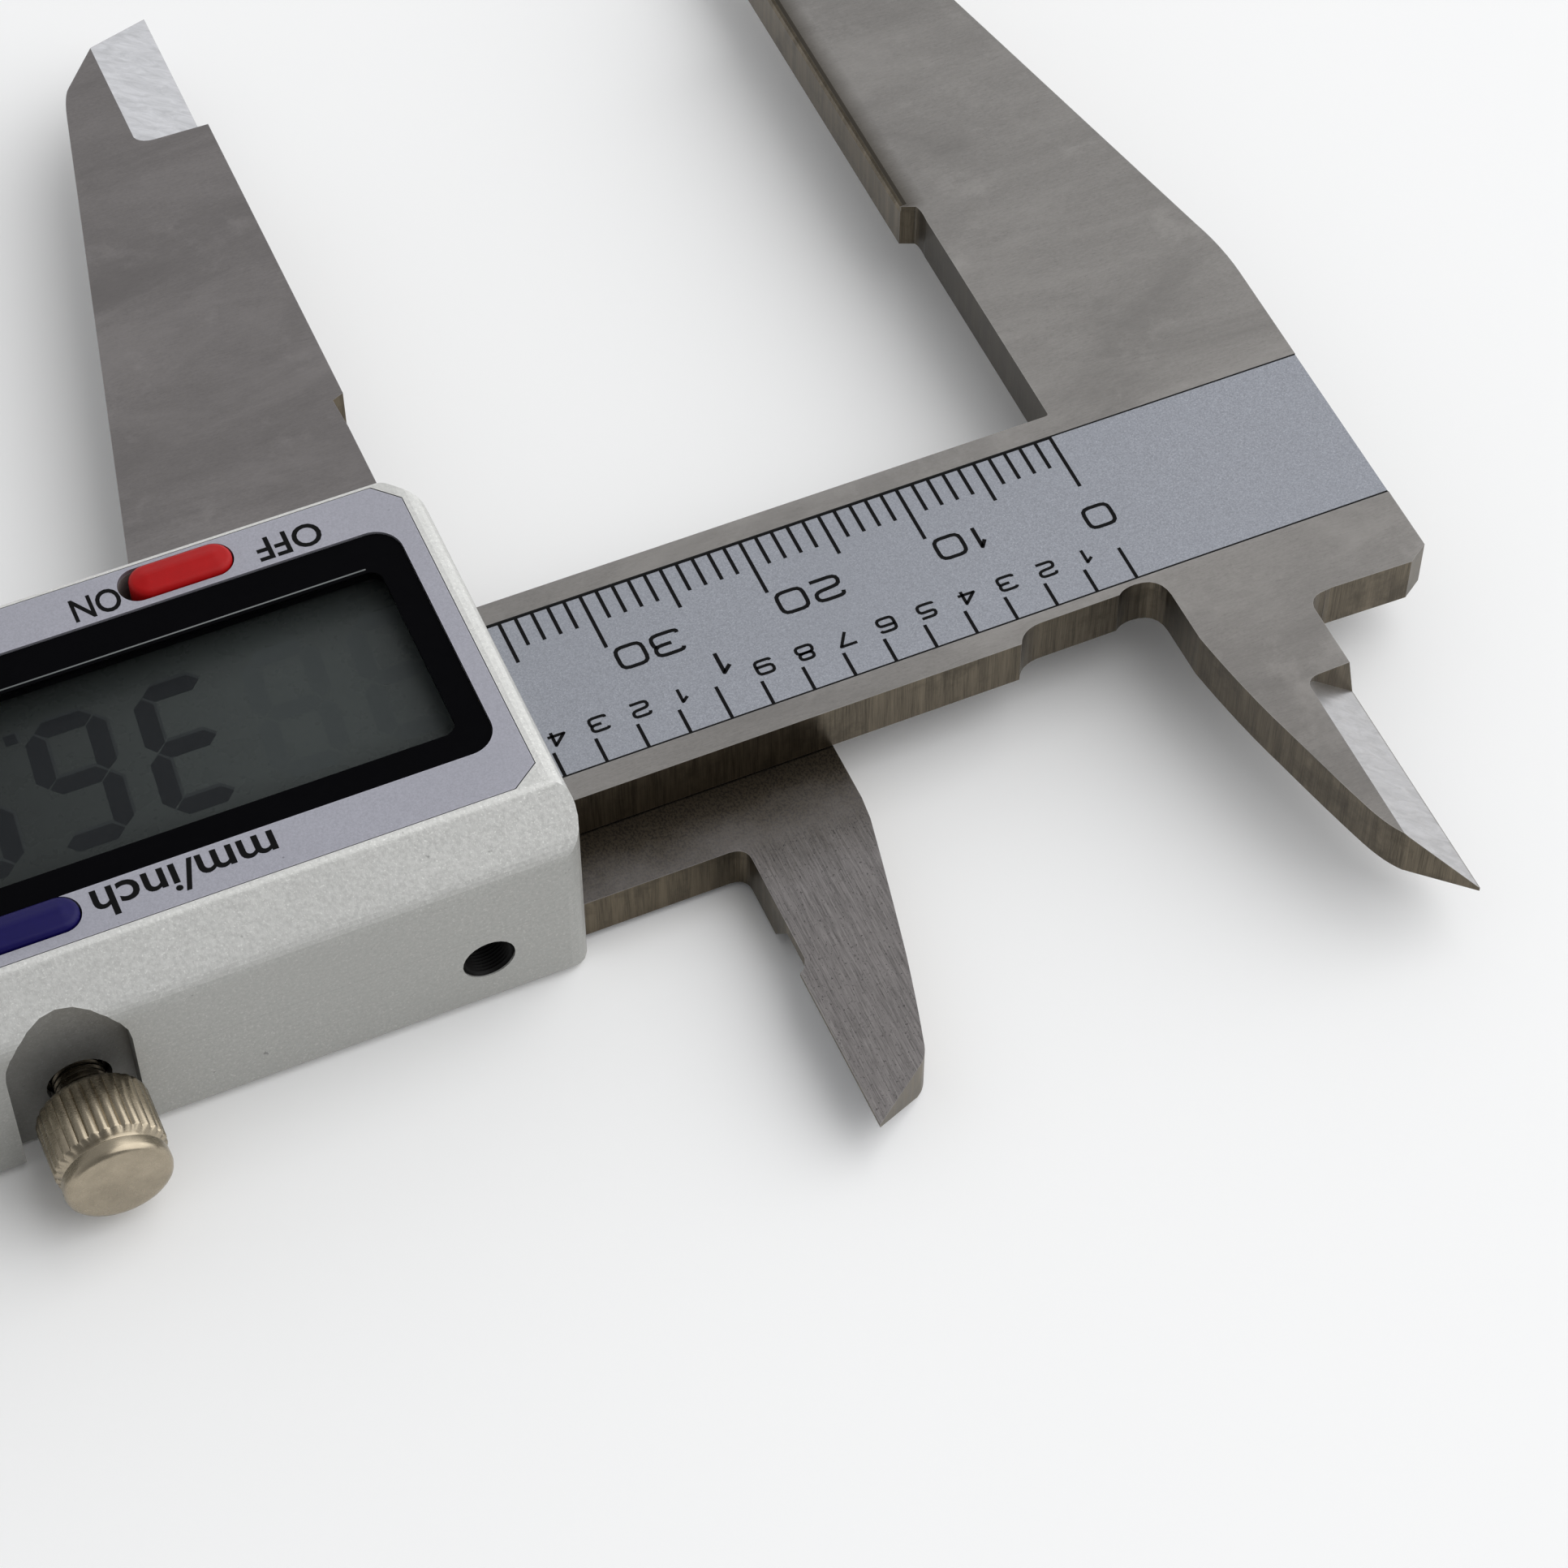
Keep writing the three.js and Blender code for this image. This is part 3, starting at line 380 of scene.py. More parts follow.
def moulded(name, colour, roughness, grain=3.0, depth=0.004 * MM, vary=0.08, coat=0.0, specular=0.5):
    """Moulded plastic, rubber, print or a painted board, with a faint surface grain."""
    tree = Tree(name, Coat_Weight=coat, Specular_IOR_Level=specular)
    fine = tree.noise(grain, 3, 0.6)
    cloud = tree.noise(0.3, 3, 0.6)
    body = tree.mix(tree.spread(cloud, 0, 1, 0.3, 0.7), shade(colour, 1 - vary), shade(colour, 1 + vary))
    body = tree.mix(tree.spread(fine, 0, 0.5, 0.55, 0.75), body, shade(colour, 1 + 2 * vary))
    rough = tree.spread(fine, roughness - 0.04, roughness + 0.05, 0.3, 0.7)
    return tree.surface(body, rough, tree.bump(fine, depth, 0.4))


def plated(name, colour, roughness, lines=(6, 6, 6), shaded_below=None):
    """Bright plated metal with faint turning marks and a painted highlight on its edges. Where
    shaded_below is given, painted shade darkens it below that Y.
    """
    tree = Tree(name, Metallic=1.0)
    marks = tree.noise(1.0, 3, 0.6, lines)
    cloud = tree.noise(0.5, 4, 0.6)
    body = tree.mix(tree.spread(cloud, 0, 1, 0.35, 0.65), shade(colour, 0.84), shade(colour, 1.1))
    # A painted highlight along the edges.
    body = tree.mix(tree.product(tree.edges(0.12 * MM), 0.7), body, shade(colour, 1.5))
    if shaded_below is not None:
        # Painted shade on the thread inside the case's recess.
        below_shade = tree.spread(tree.along("Y"), 0.85, 0, shaded_below - 0.1 * MM, shaded_below + 0.1 * MM)
        body = tree.mix(below_shade, body, shade(colour, 0.12))
    rough = tree.spread(marks, roughness - 0.06, roughness + 0.08, 0.3, 0.7)
    return tree.surface(body, rough, tree.bump(marks, 0.004 * MM, 0.4))


def clear_window(name):
    """Clear plastic. Faint scratches show as thin rougher lines."""
    colour = rgb(8, 9, 10)
    tree = Tree(name, Alpha=0.05, Specular_IOR_Level=0.2)
    scratches = tree.noise(1.0, 2, 0.5, (0.4, 14, 1))
    return tree.surface(colour, tree.spread(scratches, 0.02, 0.12, 0.55, 0.75))


def screen(name, colour):
    """A display's grey glass, darker towards its edges, where the frame shades it."""
    tree = Tree(name, Specular_IOR_Level=0.2)
    fine = tree.noise(0.8, 3, 0.6)
    body = tree.mix(tree.spread(fine, 0, 1, 0.3, 0.7), shade(colour, 0.98), shade(colour, 1.02))
    x, y = tree.along("X"), tree.along("Y")
    lit = tree.product(tree.spread(y, 0, 1, GLASS_LOW.y - 1.5 * MM, GLASS_LOW.y + 4.5 * MM),
                       tree.spread(y, 0, 1, GLASS_HIGH.y + 1.0 * MM, GLASS_HIGH.y - 3.5 * MM),
                       tree.spread(x, 0.35, 1, GLASS_LOW.x + 24 * MM, GLASS_LOW.x + 8 * MM))
    body = tree.mix(lit, shade(colour, 0.32), body)
    return tree.surface(body, tree.spread(fine, 0.24, 0.33, 0.3, 0.7))


BUTTON_PLASTIC = {"grain": 4.0, "depth": 0.006 * MM, "vary": 0.10}
SEGMENT_INK = {"roughness": 0.35, "vary": 0.02, "specular": 0.2}
LOOKS = {
    "hardened_steel": steel("hardened_steel", STEEL, WALL, jaw_shade_below=JAW_SHADE_START),
    "ground_steel": steel("ground_steel", rgb(160, 156, 150), rgb(130, 124, 116), 0.3),
    "slider_steel": steel("slider_steel", rgb(131, 127, 126), rgb(98, 89, 74), 0.36,
                          upright=BRUSHED_START, facet_highlight=0.78),
    "nickel": plated("nickel", rgb(168, 157, 138), 0.28, (2, 30, 2), shaded_below=KNOB_START),
    "brass": plated("brass", rgb(196, 164, 96), 0.35),
    "gold_plate": plated("gold_plate", rgb(206, 170, 104), 0.3),
    "battery_steel": plated("battery_steel", rgb(190, 188, 182), 0.3, (12, 1, 1)),
    "scale_film": film("scale_film", rgb(147, 150, 158)),
    "circuit_board": moulded("circuit_board", rgb(38, 92, 54), 0.4),
    "case_silver": painted("case_silver", rgb(208, 208, 205), 0.42, grain=4.2, depth=0.030 * MM,
                           metallic=0.4, wear_and_highlight=0.3, casting=True),
    "panel_silver": painted("panel_silver", rgb(170, 170, 180), 0.34, grain=9.0, depth=0.002 * MM,
                            metallic=0.5, wear_and_highlight=0.5),
    "clear_lens": clear_window("clear_lens"),
    "black_print": moulded("black_print", rgb(6, 6, 8), 0.3, grain=2.0, specular=0.02),
    "display_glass": screen("display_glass", rgb(66, 71, 70)),
    "dark_plastic": moulded("dark_plastic", rgb(28, 28, 30), 0.5),
    # Near black: painted shade for threads deep in a hole
    "shaded_thread": moulded("shaded_thread", rgb(9, 8, 7), 0.5, specular=0.15),
    "grey_plastic": moulded("grey_plastic", rgb(96, 100, 100), 0.4),
    "conductive_rubber": moulded("conductive_rubber", rgb(44, 44, 44), 0.8, grain=5.0),
    "red_button": moulded("red_button", rgb(166, 7, 10), 0.45, specular=0.2, **BUTTON_PLASTIC),
    "blue_button": moulded("blue_button", rgb(11, 4, 74), 0.42, specular=0.2, **BUTTON_PLASTIC),
    "yellow_button": moulded("yellow_button", rgb(226, 178, 40), 0.42, coat=0.2, **BUTTON_PLASTIC),
    "ink": moulded("ink", rgb(9, 9, 10), 0.5, specular=0.08),
    "segment_ink": moulded("segment_ink", rgb(26, 29, 32), **SEGMENT_INK),
    "segment_shadow": moulded("segment_shadow", rgb(46, 50, 51), **SEGMENT_INK),
    "unlit_segment": moulded("unlit_segment", rgb(61, 66, 66), **SEGMENT_INK),
}

# How far the edges of each CAD node are rounded, in millimetres
ROUNDING = {"beam": 0.10, "slider_frame": 0.12, "rear_cover": 0.12, "depth_rod": 0.12, "battery_lid": 0.15,
            "end_stop_plate": 0.2, "scale_label": 0.02, "lcd_glass": 0.05, "main_board": 0.05,
            "window_mask": 0.05, "window_lens": 0.05, "lcd_frame": 0.05, "gib_strip": 0.05}


def dress_cad_nodes():
    """Gives each carried-over node its slot's material, and rounds its edges where its size allows."""
    slots = {row["node"]: row["material_slot"] for row in frame["record"]["subparts"]}
    slots["slider_frame"] = "slider_steel"
    for name, node in frame["nodes"].items():
        node.data.materials.clear()
        node.data.materials.append(LOOKS[slots[name]])
        if name in ROUNDING:
            soften(node, ROUNDING[name] * MM)
        elif name in ("housing", "face_panel"):
            even_shading(node)


def even_shading(piece):
    shade_smooth(piece)
    normals = piece.modifiers.new("even_normals", "WEIGHTED_NORMAL")
    normals.keep_sharp = True


def soften(piece, width):
    flat = piece.modifiers.new("join_faces", "DECIMATE")
    flat.decimate_type = "DISSOLVE"
    flat.angle_limit = math.radians(1)
    bevel = piece.modifiers.new("round_edges", "BEVEL")
    bevel.width = width
    bevel.segments = 2
    bevel.limit_method = "ANGLE"
    bevel.angle_limit = math.radians(28)
    even_shading(piece)


def shade_smooth(piece, angle=30):
    """Smooth shading, with a sharp edge wherever two faces meet at more than this angle."""
    mesh = piece.data
    for polygon in mesh.polygons:
        polygon.use_smooth = True
    bm = bmesh.new()
    bm.from_mesh(mesh)
    sharp = {edge.index for edge in bm.edges
             if len(edge.link_faces) == 2 and edge.calc_face_angle(0) > math.radians(angle)}
    bm.free()
    for edge in mesh.edges:
        edge.use_edge_sharp = edge.index in sharp


# ---------------------------------------------------------------- mesh pieces


def add_piece(name, bm, body, slot, look=None, smooth=35):
    """A new piece from bm, riding on body. look is its material, where that isn't the slot's own."""
    mesh = bpy.data.meshes.new(name)
    bmesh.ops.recalc_face_normals(bm, faces=bm.faces)
    bm.to_mesh(mesh)
    bm.free()
    piece = bpy.data.objects.new(name, mesh)
    bpy.context.scene.collection.objects.link(piece)
    mesh.materials.append(LOOKS[look or slot])
    shade_smooth(piece, smooth)
    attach(piece, body)
    return piece


def bar(bm, x0, x1, y0, y1, z0, z1):
    matrix = Matrix.Translation(((x0 + x1) / 2, (y0 + y1) / 2, (z0 + z1) / 2))
    matrix = matrix @ Matrix.Diagonal((abs(x1 - x0), abs(y1 - y0), abs(z1 - z0), 1))
    bmesh.ops.create_cube(bm, size=1, matrix=matrix)


def skin(bm, rings):
    """Faces from each ring of points to the next."""
    for lower, upper in zip(rings, rings[1:]):
        for index in range(len(lower)):
            after = (index + 1) % len(lower)
            bm.faces.new((lower[index], lower[after], upper[after], upper[index]))


def ribbon(bm, points, width, low, high, closed=False):
    """A flat stroke of even width along points, as a closed solid between two heights."""
    count = len(points)
    rails = []
    for index, point in enumerate(points):
        steps = []
        if closed or index:
            steps.append((point - points[index - 1]).normalized())
        if closed or index < count - 1:
            steps.append((points[(index + 1) % count] - point).normalized())
        along = sum(steps, Vector((0, 0))).normalized()
        side = Vector((-along.y, along.x)) * (width / 2) / max(0.5, along.dot(steps[0]))
        right, left = point - side, point + side
        section = ((right, low), (left, low), (left, high), (right, high))
        rails.append([bm.verts.new((p.x, p.y, z)) for p, z in section])
    if closed:
        skin(bm, rails + rails[:1])
        return
    skin(bm, rails)
    bm.faces.new(rails[0])
    bm.faces.new(list(reversed(rails[-1])))


def rounded(points, radius, closed=False):
    """The same outline with each corner replaced by a short curve."""
    count = len(points)
    steps = 3
    result = []
    for index, point in enumerate(points):
        if not closed and index in (0, count - 1):
            result.append(point)
            continue
        before, after = points[index - 1], points[(index + 1) % count]
        reach_in = min(radius, (before - point).length * 0.45)
        reach_out = min(radius, (after - point).length * 0.45)
        start = point + (before - point).normalized() * reach_in
        end = point + (after - point).normalized() * reach_out
        for step in range(steps + 1):
            t = step / steps
            result.append(start * (1 - t) ** 2 + point * 2 * t * (1 - t) + end * t * t)
    return result


# ---------------------------------------------------------------- the beam's scales

# Figures drawn with straight strokes and rounded corners, in a cell one unit wide and high. Each stroke
# is its points, and whether it closes on itself.
STROKES = {
    "0": [([(0, 0), (1, 0), (1, 1), (0, 1)], True)],
    "1": [([(0.25, 0.70), (0.62, 1), (0.62, 0)], False)],
    "2": [([(0, 0.80), (0.04, 1), (1, 1), (1, 0.54), (0, 0.46), (0, 0), (1, 0)], False)],
    "3": [([(0, 0.86), (0.05, 1), (1, 1), (1, 0.52), (0.35, 0.52)], False),
          ([(0.9, 0.52), (1, 0.5), (1, 0), (0, 0), (0, 0.16)], False)],
    "4": [([(0.72, 0), (0.72, 1), (0, 0.30), (1, 0.30)], False)],
    "5": [([(1, 1), (0.08, 1), (0.02, 0.56), (1, 0.60), (1, 0), (0, 0), (0, 0.12)], False)],
    "6": [([(1, 0.86), (0.95, 1), (0, 1), (0, 0), (1, 0), (1, 0.56), (0, 0.56)], False)],
    "7": [([(0, 1), (1, 1), (0.40, 0)], False)],
    "8": [([(0, 0), (1, 0), (1, 0.53), (0, 0.53)], True),
          ([(0.08, 0.53), (0.92, 0.53), (0.92, 1), (0.08, 1)], True)],
    "9": [([(0, 0.14), (0.05, 0), (1, 0), (1, 1), (0, 1), (0, 0.44), (1, 0.44)], False)],
}
ANGULAR = "147"  # the figures whose corners stay sharp

ZERO_X = -0.3 * MM  # the printed zero line
LINE = 0.22 * MM
METRIC_Y = LABEL_LOW.y + 0.10 * MM  # the scales' base lines
METRIC_BASE = 0.07 * MM  # half the metric base line's width
INCH_Y = LABEL_HIGH.y - 0.04 * MM
RANGE_MM = 200
RANGE_INCH = 8
BOLD = 0.24 * MM  # the stroke of the larger figures


def draw_figure(bm, figure, x, y, width, height, stroke):
    """A figure on the label, with its lower left corner at x, y."""
    radius = (0.02 if figure in ANGULAR else 0.28) * width
    for outline, closed in STROKES[figure]:
        points = [Vector((x + u * width, y + v * height)) for u, v in outline]
        ribbon(bm, rounded(points, radius, closed), stroke, PRINT_LOW, PRINT_HIGH, closed)


def tick(bm, x, start, length, width=LINE):
    bar(bm, x - width / 2, x + width / 2, start, start + length, PRINT_LOW, PRINT_HIGH)


def metric_figures(bm, value):
    """The figures of one ten, ending just short of its line. The zero stands over its own, and higher."""
    width, narrow, height, gap = 1.62 * MM, 0.9 * MM, 1.52 * MM, 0.58 * MM
    x, y = ZERO_X + value * MM - 0.28 * MM, -1.45 * MM
    if value == 0:
        x, y = ZERO_X + 0.78 * MM, -0.08 * MM
    for figure in reversed(str(value)):
        cell = narrow if figure == "1" else width
        draw_figure(bm, figure, x - cell, y, cell, height, BOLD)
        x -= cell + gap


def metric_scale():
    bm = bmesh.new()
    end = ZERO_X + RANGE_MM * MM
    bar(bm, ZERO_X - LINE / 2, end + LINE / 2, METRIC_Y - METRIC_BASE, METRIC_Y + METRIC_BASE,
        PRINT_LOW, PRINT_HIGH)
    for step in range(RANGE_MM + 1):
        length = 4.0 if step % 10 == 0 else 3.0 if step % 5 == 0 else 2.05
        tick(bm, ZERO_X + step * MM, METRIC_Y + METRIC_BASE, length * MM)
    for value in range(0, RANGE_MM + 1, 10):
        metric_figures(bm, value)
    return add_piece("metric_scale", bm, "beam_body", "scale_film", "ink")


def inch_scale():
    """Tenths of an inch, each with its figure, and a larger figure at each whole inch."""
    short, long = 1.72 * MM, 2.40 * MM
    width, height, stroke = 0.98 * MM, 0.95 * MM, 0.19 * MM
    large_width, large_height = 1.35 * MM, 1.5 * MM
    bm = bmesh.new()
    for step in range(RANGE_INCH * 10 + 1):
        x = ZERO_X + step * INCH / 10
        inches, tenths = divmod(step, 10)
        tick(bm, x, INCH_Y, -short if tenths else -long, LINE * 0.95)
        if tenths:
            draw_figure(bm, str(tenths), x - 1.05 * MM, 2.62 * MM, width, height, stroke)
        elif inches:
            draw_figure(bm, str(inches), x - 1.7 * MM, 1.08 * MM, large_width, large_height, BOLD)
    return add_piece("inch_scale", bm, "beam_body", "scale_film", "ink")


def label_rims():
    """A painted shadow: the dark line in the gap where the scale's film meets the steel on each side."""
    bm = bmesh.new()
    width = 0.11 * MM
    for y in (LABEL_LOW.y - width / 2, LABEL_HIGH.y - width / 2):
        bar(bm, LABEL_LOW.x, LABEL_HIGH.x, y, y + width, PRINT_LOW, LABEL_HIGH.z + INK / 2)
    return add_piece("label_rims", bm, "beam_body", "scale_film", "ink")


# ---------------------------------------------------------------- words on the slider


def word(name, text, left, width, base, height):
    """Plain lettering on the face panel, fitted to its place and reading along X."""
    curve = bpy.data.curves.new(name, "FONT")
    curve.body = text
    curve.offset = 0.014  # a little bolder than the plain font
    curve.resolution_u = 4
    curve.extrude = 0.5
    shape = bpy.data.objects.new(name, curve)
    bpy.context.scene.collection.objects.link(shape)
    bpy.context.view_layer.update()
    mesh = bpy.data.meshes.new_from_object(shape.evaluated_get(bpy.context.evaluated_depsgraph_get()))
    bpy.data.objects.remove(shape)
    xs = [v.co.x for v in mesh.vertices]
    first, last = min(xs), max(xs)
    top = max(v.co.y for v in mesh.vertices)
    for vertex in mesh.vertices:
        x, y, depth = vertex.co
        vertex.co.x = left + (x - first) / (last - first) * width
        vertex.co.y = base + y / top * height
        vertex.co.z = PANEL_HIGH.z + (INK if depth > 0 else -INK_ROOT)
    bm = bmesh.new()
    bm.from_mesh(mesh)
    bmesh.ops.remove_doubles(bm, verts=bm.verts, dist=0.0005 * MM)
    bpy.data.meshes.remove(mesh)
    return add_piece(name, bm, "slider", "panel_silver", "ink")


def panel_words():
    """The words beside the buttons. The three along the -Y edge share one line."""
    base, height = PANEL_LOW.y + 1.03 * MM, 1.62 * MM
    power_low, power_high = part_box("on_off_button")
    units_low, _units_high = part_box("mm_inch_button")
    _zero_low, zero_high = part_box("zero_button")
    word("word_off", "OFF", power_low.x - 4.65 * MM, 3.8 * MM, base, height)
    word("word_on", "ON", power_high.x + 0.15 * MM, 2.8 * MM, base, height)
    word("word_units", "mm/inch", units_low.x - 10.45 * MM, 10.2 * MM, units_low.y + 0.35 * MM, 1.95 * MM)
    word("word_zero", "ZERO", zero_high.x + 0.5 * MM, 5.3 * MM, base, height)


# ---------------------------------------------------------------- display

READING = "36.90"
SEGMENTS = {"0": "abcdef", "3": "abcdg", "6": "acdefg", "8": "abcdefg", "9": "abcdfg"}
SEGMENT_ENDS = {"a": ((0, 2), (1, 2)), "b": ((1, 1), (1, 2)), "c": ((1, 0), (1, 1)), "d": ((0, 0), (1, 0)),
                "e": ((0, 0), (0, 1)), "f": ((0, 1), (0, 2)), "g": ((0, 1), (1, 1))}
DIGIT_WIDTH = 3.45 * MM
DIGIT_HALF = 4.0 * MM  # half a digit's height
DIGIT_STROKE = 1.12 * MM
DIGIT_PITCH = 6.2 * MM
DIGIT_LEAN = 0.09
DIGIT_START = GLASS_LOW.x + 11.9 * MM
DIGIT_BASE = GLASS_LOW.y + 3.15 * MM


def segment(bm, start, end, stroke, z0, z1):
    """One display segment: a bar with pointed ends."""
    along = (end - start).normalized()
    side = Vector((-along.y, along.x)) * stroke / 2
    inset = along * (stroke * 0.08)
    cut = along * (stroke * 0.5)
    a, b = start + inset, end - inset
    outline = [a, a + cut + side, b - cut + side, b, b - cut - side, a + cut - side]
    lower = [bm.verts.new((p.x, p.y, z0)) for p in outline]
    upper = [bm.verts.new((p.x, p.y, z1)) for p in outline]
    bm.faces.new(upper)
    bm.faces.new(list(reversed(lower)))
    skin(bm, [lower, upper])


def figure_segments(bm, figure, left, grow, shift, z0, z1):
    """The segments of one figure, each grown and moved in the glass's plane."""
    def at(u, v):
        place = Vector((left + u * DIGIT_WIDTH + v * DIGIT_HALF * DIGIT_LEAN, DIGIT_BASE + v * DIGIT_HALF))
        return place + shift
    for key in SEGMENTS[figure]:
        start, end = SEGMENT_ENDS[key]
        segment(bm, at(*start), at(*end), DIGIT_STROKE + grow, z0, z1)


def decimal_point(bm, left, grow, shift, z0, z1):
    """The point between the figure before left and the one that starts there."""
    x = left - DIGIT_PITCH + DIGIT_WIDTH + 1.25 * MM + shift.x
    y = DIGIT_BASE - 0.3 * MM + shift.y
    reach = 0.35 * MM + grow / 2
    bar(bm, x - reach, x + reach, y + reach - 0.5 * MM, y + reach + 0.2 * MM, z0, z1)


def display_layer(name, figures, first, look, rise, grow=0.0, shift=Vector((0, 0))):
    """One layer of the display. rise is how far it stands off the glass."""
    z0, z1 = GLASS_HIGH.z - 0.01 * MM, GLASS_HIGH.z + rise
    bm = bmesh.new()
    left = DIGIT_START + first * DIGIT_PITCH
    for figure in figures:
        if figure == ".":
            decimal_point(bm, left, grow, shift, z0, z1)
            continue
        figure_segments(bm, figure, left, grow, shift, z0, z1)
        left += DIGIT_PITCH
    if look == "segment_ink":
        units(bm, z0, z1)
    piece = add_piece(name, bm, "slider", "display_glass", look)
    for polygon in piece.data.polygons:
        polygon.use_smooth = False
    return piece


def units(bm, z0, z1):
    """The display's small mm sign."""
    height, gap, half = 0.95 * MM, 0.5 * MM, 0.08 * MM
    foot = GLASS_LOW.y + 3.0 * MM
    top = foot + height
    for index in range(2):
        left = GLASS_HIGH.x - 3.7 * MM + index * 3 * gap
        for leg in range(3):
            bar(bm, left + leg * gap - half, left + leg * gap + half, foot, top, z0, z1)
        bar(bm, left, left + 2 * gap, top - 2 * half, top, z0, z1)


def display_reading():
    """The reading over its own soft shadow in the glass, and the faint segments that are off."""
    shadow_shift = Vector((-0.12, -0.16)) * MM
    display_layer("display_unlit", "88", -2, "unlit_segment", 0.002 * MM)
    display_layer("display_shadow", READING, 0, "segment_shadow", 0.004 * MM, 0.14 * MM, shadow_shift)
    return display_layer("display_reading", READING, 0, "segment_ink", 0.007 * MM)


def outline_ring(bm, outer, inner, z0, z1):
    """A flat closed ring between two outlines with the same number of points."""
    rows = [[bm.verts.new((x, y, z)) for x, y in outline]
            for outline, z in ((outer, z0), (outer, z1), (inner, z1), (inner, z0))]
    skin(bm, rows + rows[:1])


def corner_outline(low, high, radius):
    """A rectangle with rounded corners, anticlockwise from its +X side."""
    steps = 8
    centres = ((high.x - radius, high.y - radius), (low.x + radius, high.y - radius),
               (low.x + radius, low.y + radius), (high.x - radius, low.y + radius))
    points = []
    for turn, (cx, cy) in enumerate(centres):
        for step in range(steps + 1):
            angle = math.pi / 2 * (turn + step / steps)
            points.append((cx + radius * math.cos(angle), cy + radius * math.sin(angle)))
    return points


def window_border():
    """The black print round the lens, and a painted highlight: a thin pale line along its inner edge on
    the -Y side.
    """
    low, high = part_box("window_lens")
    view_low = Vector((low.x + 1.74 * MM, low.y + 2.55 * MM))
    view_high = Vector((high.x - 1.14 * MM, high.y - 1.8 * MM))
    z0, z1 = high.z - 0.02 * MM, high.z + 0.015 * MM
    outer, inner = corner_outline(low, high, 1.6 * MM), corner_outline(view_low, view_high, 0.8 * MM)
    bm = bmesh.new()
    outline_ring(bm, outer, inner, z0, z1)
    add_piece("window_border", bm, "slider", "black_print")

    # A painted highlight where the inner edge catches the light.
    width, inset = 0.09 * MM, 0.7 * MM
    y = view_low.y - 0.3 * MM
    bm = bmesh.new()
    bar(bm, view_low.x + inset, view_high.x - inset, y, y + width, z0, z1 + 0.01 * MM)
    return add_piece("window_edge_highlight", bm, "slider", "black_print", "grey_plastic")


# ---------------------------------------------------------------- buttons, knob and roller


def pill_outline(cx, cy, length, width):
    """A rectangle with half-round ends along X."""
    steps = 10
    radius = width / 2
    points = []
    for side in (1, -1):
        for step in range(steps + 1):
            angle = side * math.pi / 2 - math.pi * step / steps
            points.append((cx + side * (length / 2 - radius) + radius * math.cos(angle),
                           cy + radius * math.sin(angle)))
    return points


def button_cap(name, node, body, slot):
    """A domed cap, whose rim rounds over into its top."""
    low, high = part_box(node)
    cx, cy = (low.x + high.x) / 2, (low.y + high.y) / 2
    flange = 0.5 * MM
    length, width = high.x - low.x - 2 * flange, high.y - low.y
    dome, turn_in, turn_up, turn_steps = 0.16 * MM, 0.42 * MM, 0.35 * MM, 5
    rim = high.z - dome
    profile = [(0.0, low.z)]  # how far in from the outline, and the height
    for step in range(turn_steps + 1):
        angle = math.pi / 2 * step / turn_steps
        profile.append((turn_in * (1 - math.cos(angle)), rim - turn_up + turn_up * math.sin(angle)))
    profile.append((0.75 * MM, rim + dome * 0.75))
    profile.append((width / 2 - 0.02 * MM, high.z))
    bm = bmesh.new()
    rings = []
    for inset, z in profile:
        outline = pill_outline(cx, cy, length - 2 * inset, width - 2 * inset)
        rings.append([bm.verts.new((x, y, z)) for x, y in outline])
    skin(bm, rings)
    bm.faces.new(list(reversed(rings[0])))
    bm.faces.new(rings[-1])
    piece = add_piece(name, bm, body, slot)
    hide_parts(node)
    return piece


def turned(bm, profile, teeth, centre, axis):
    """A turned piece with knurling: profile rows are (radius, place along the axis, tooth depth)."""
    sides = teeth * 6
    flat = 0.4  # the share of a tooth that is left at its full radius
    rings = []
    for radius, place, depth in profile:
        ring = []
        for index in range(sides):
            angle = 2 * math.pi * index / sides
            wave = abs((index * teeth / sides) % 1 * 2 - 1)
            r = radius - depth * max(0.0, wave - flat) / (1 - flat)
            a, b = r * math.cos(angle), r * math.sin(angle)
            point = (a, place, b) if axis == "Y" else (a, b, place)
            ring.append(bm.verts.new(Vector(point) + centre))
        rings.append(ring)
    skin(bm, rings)
    return rings


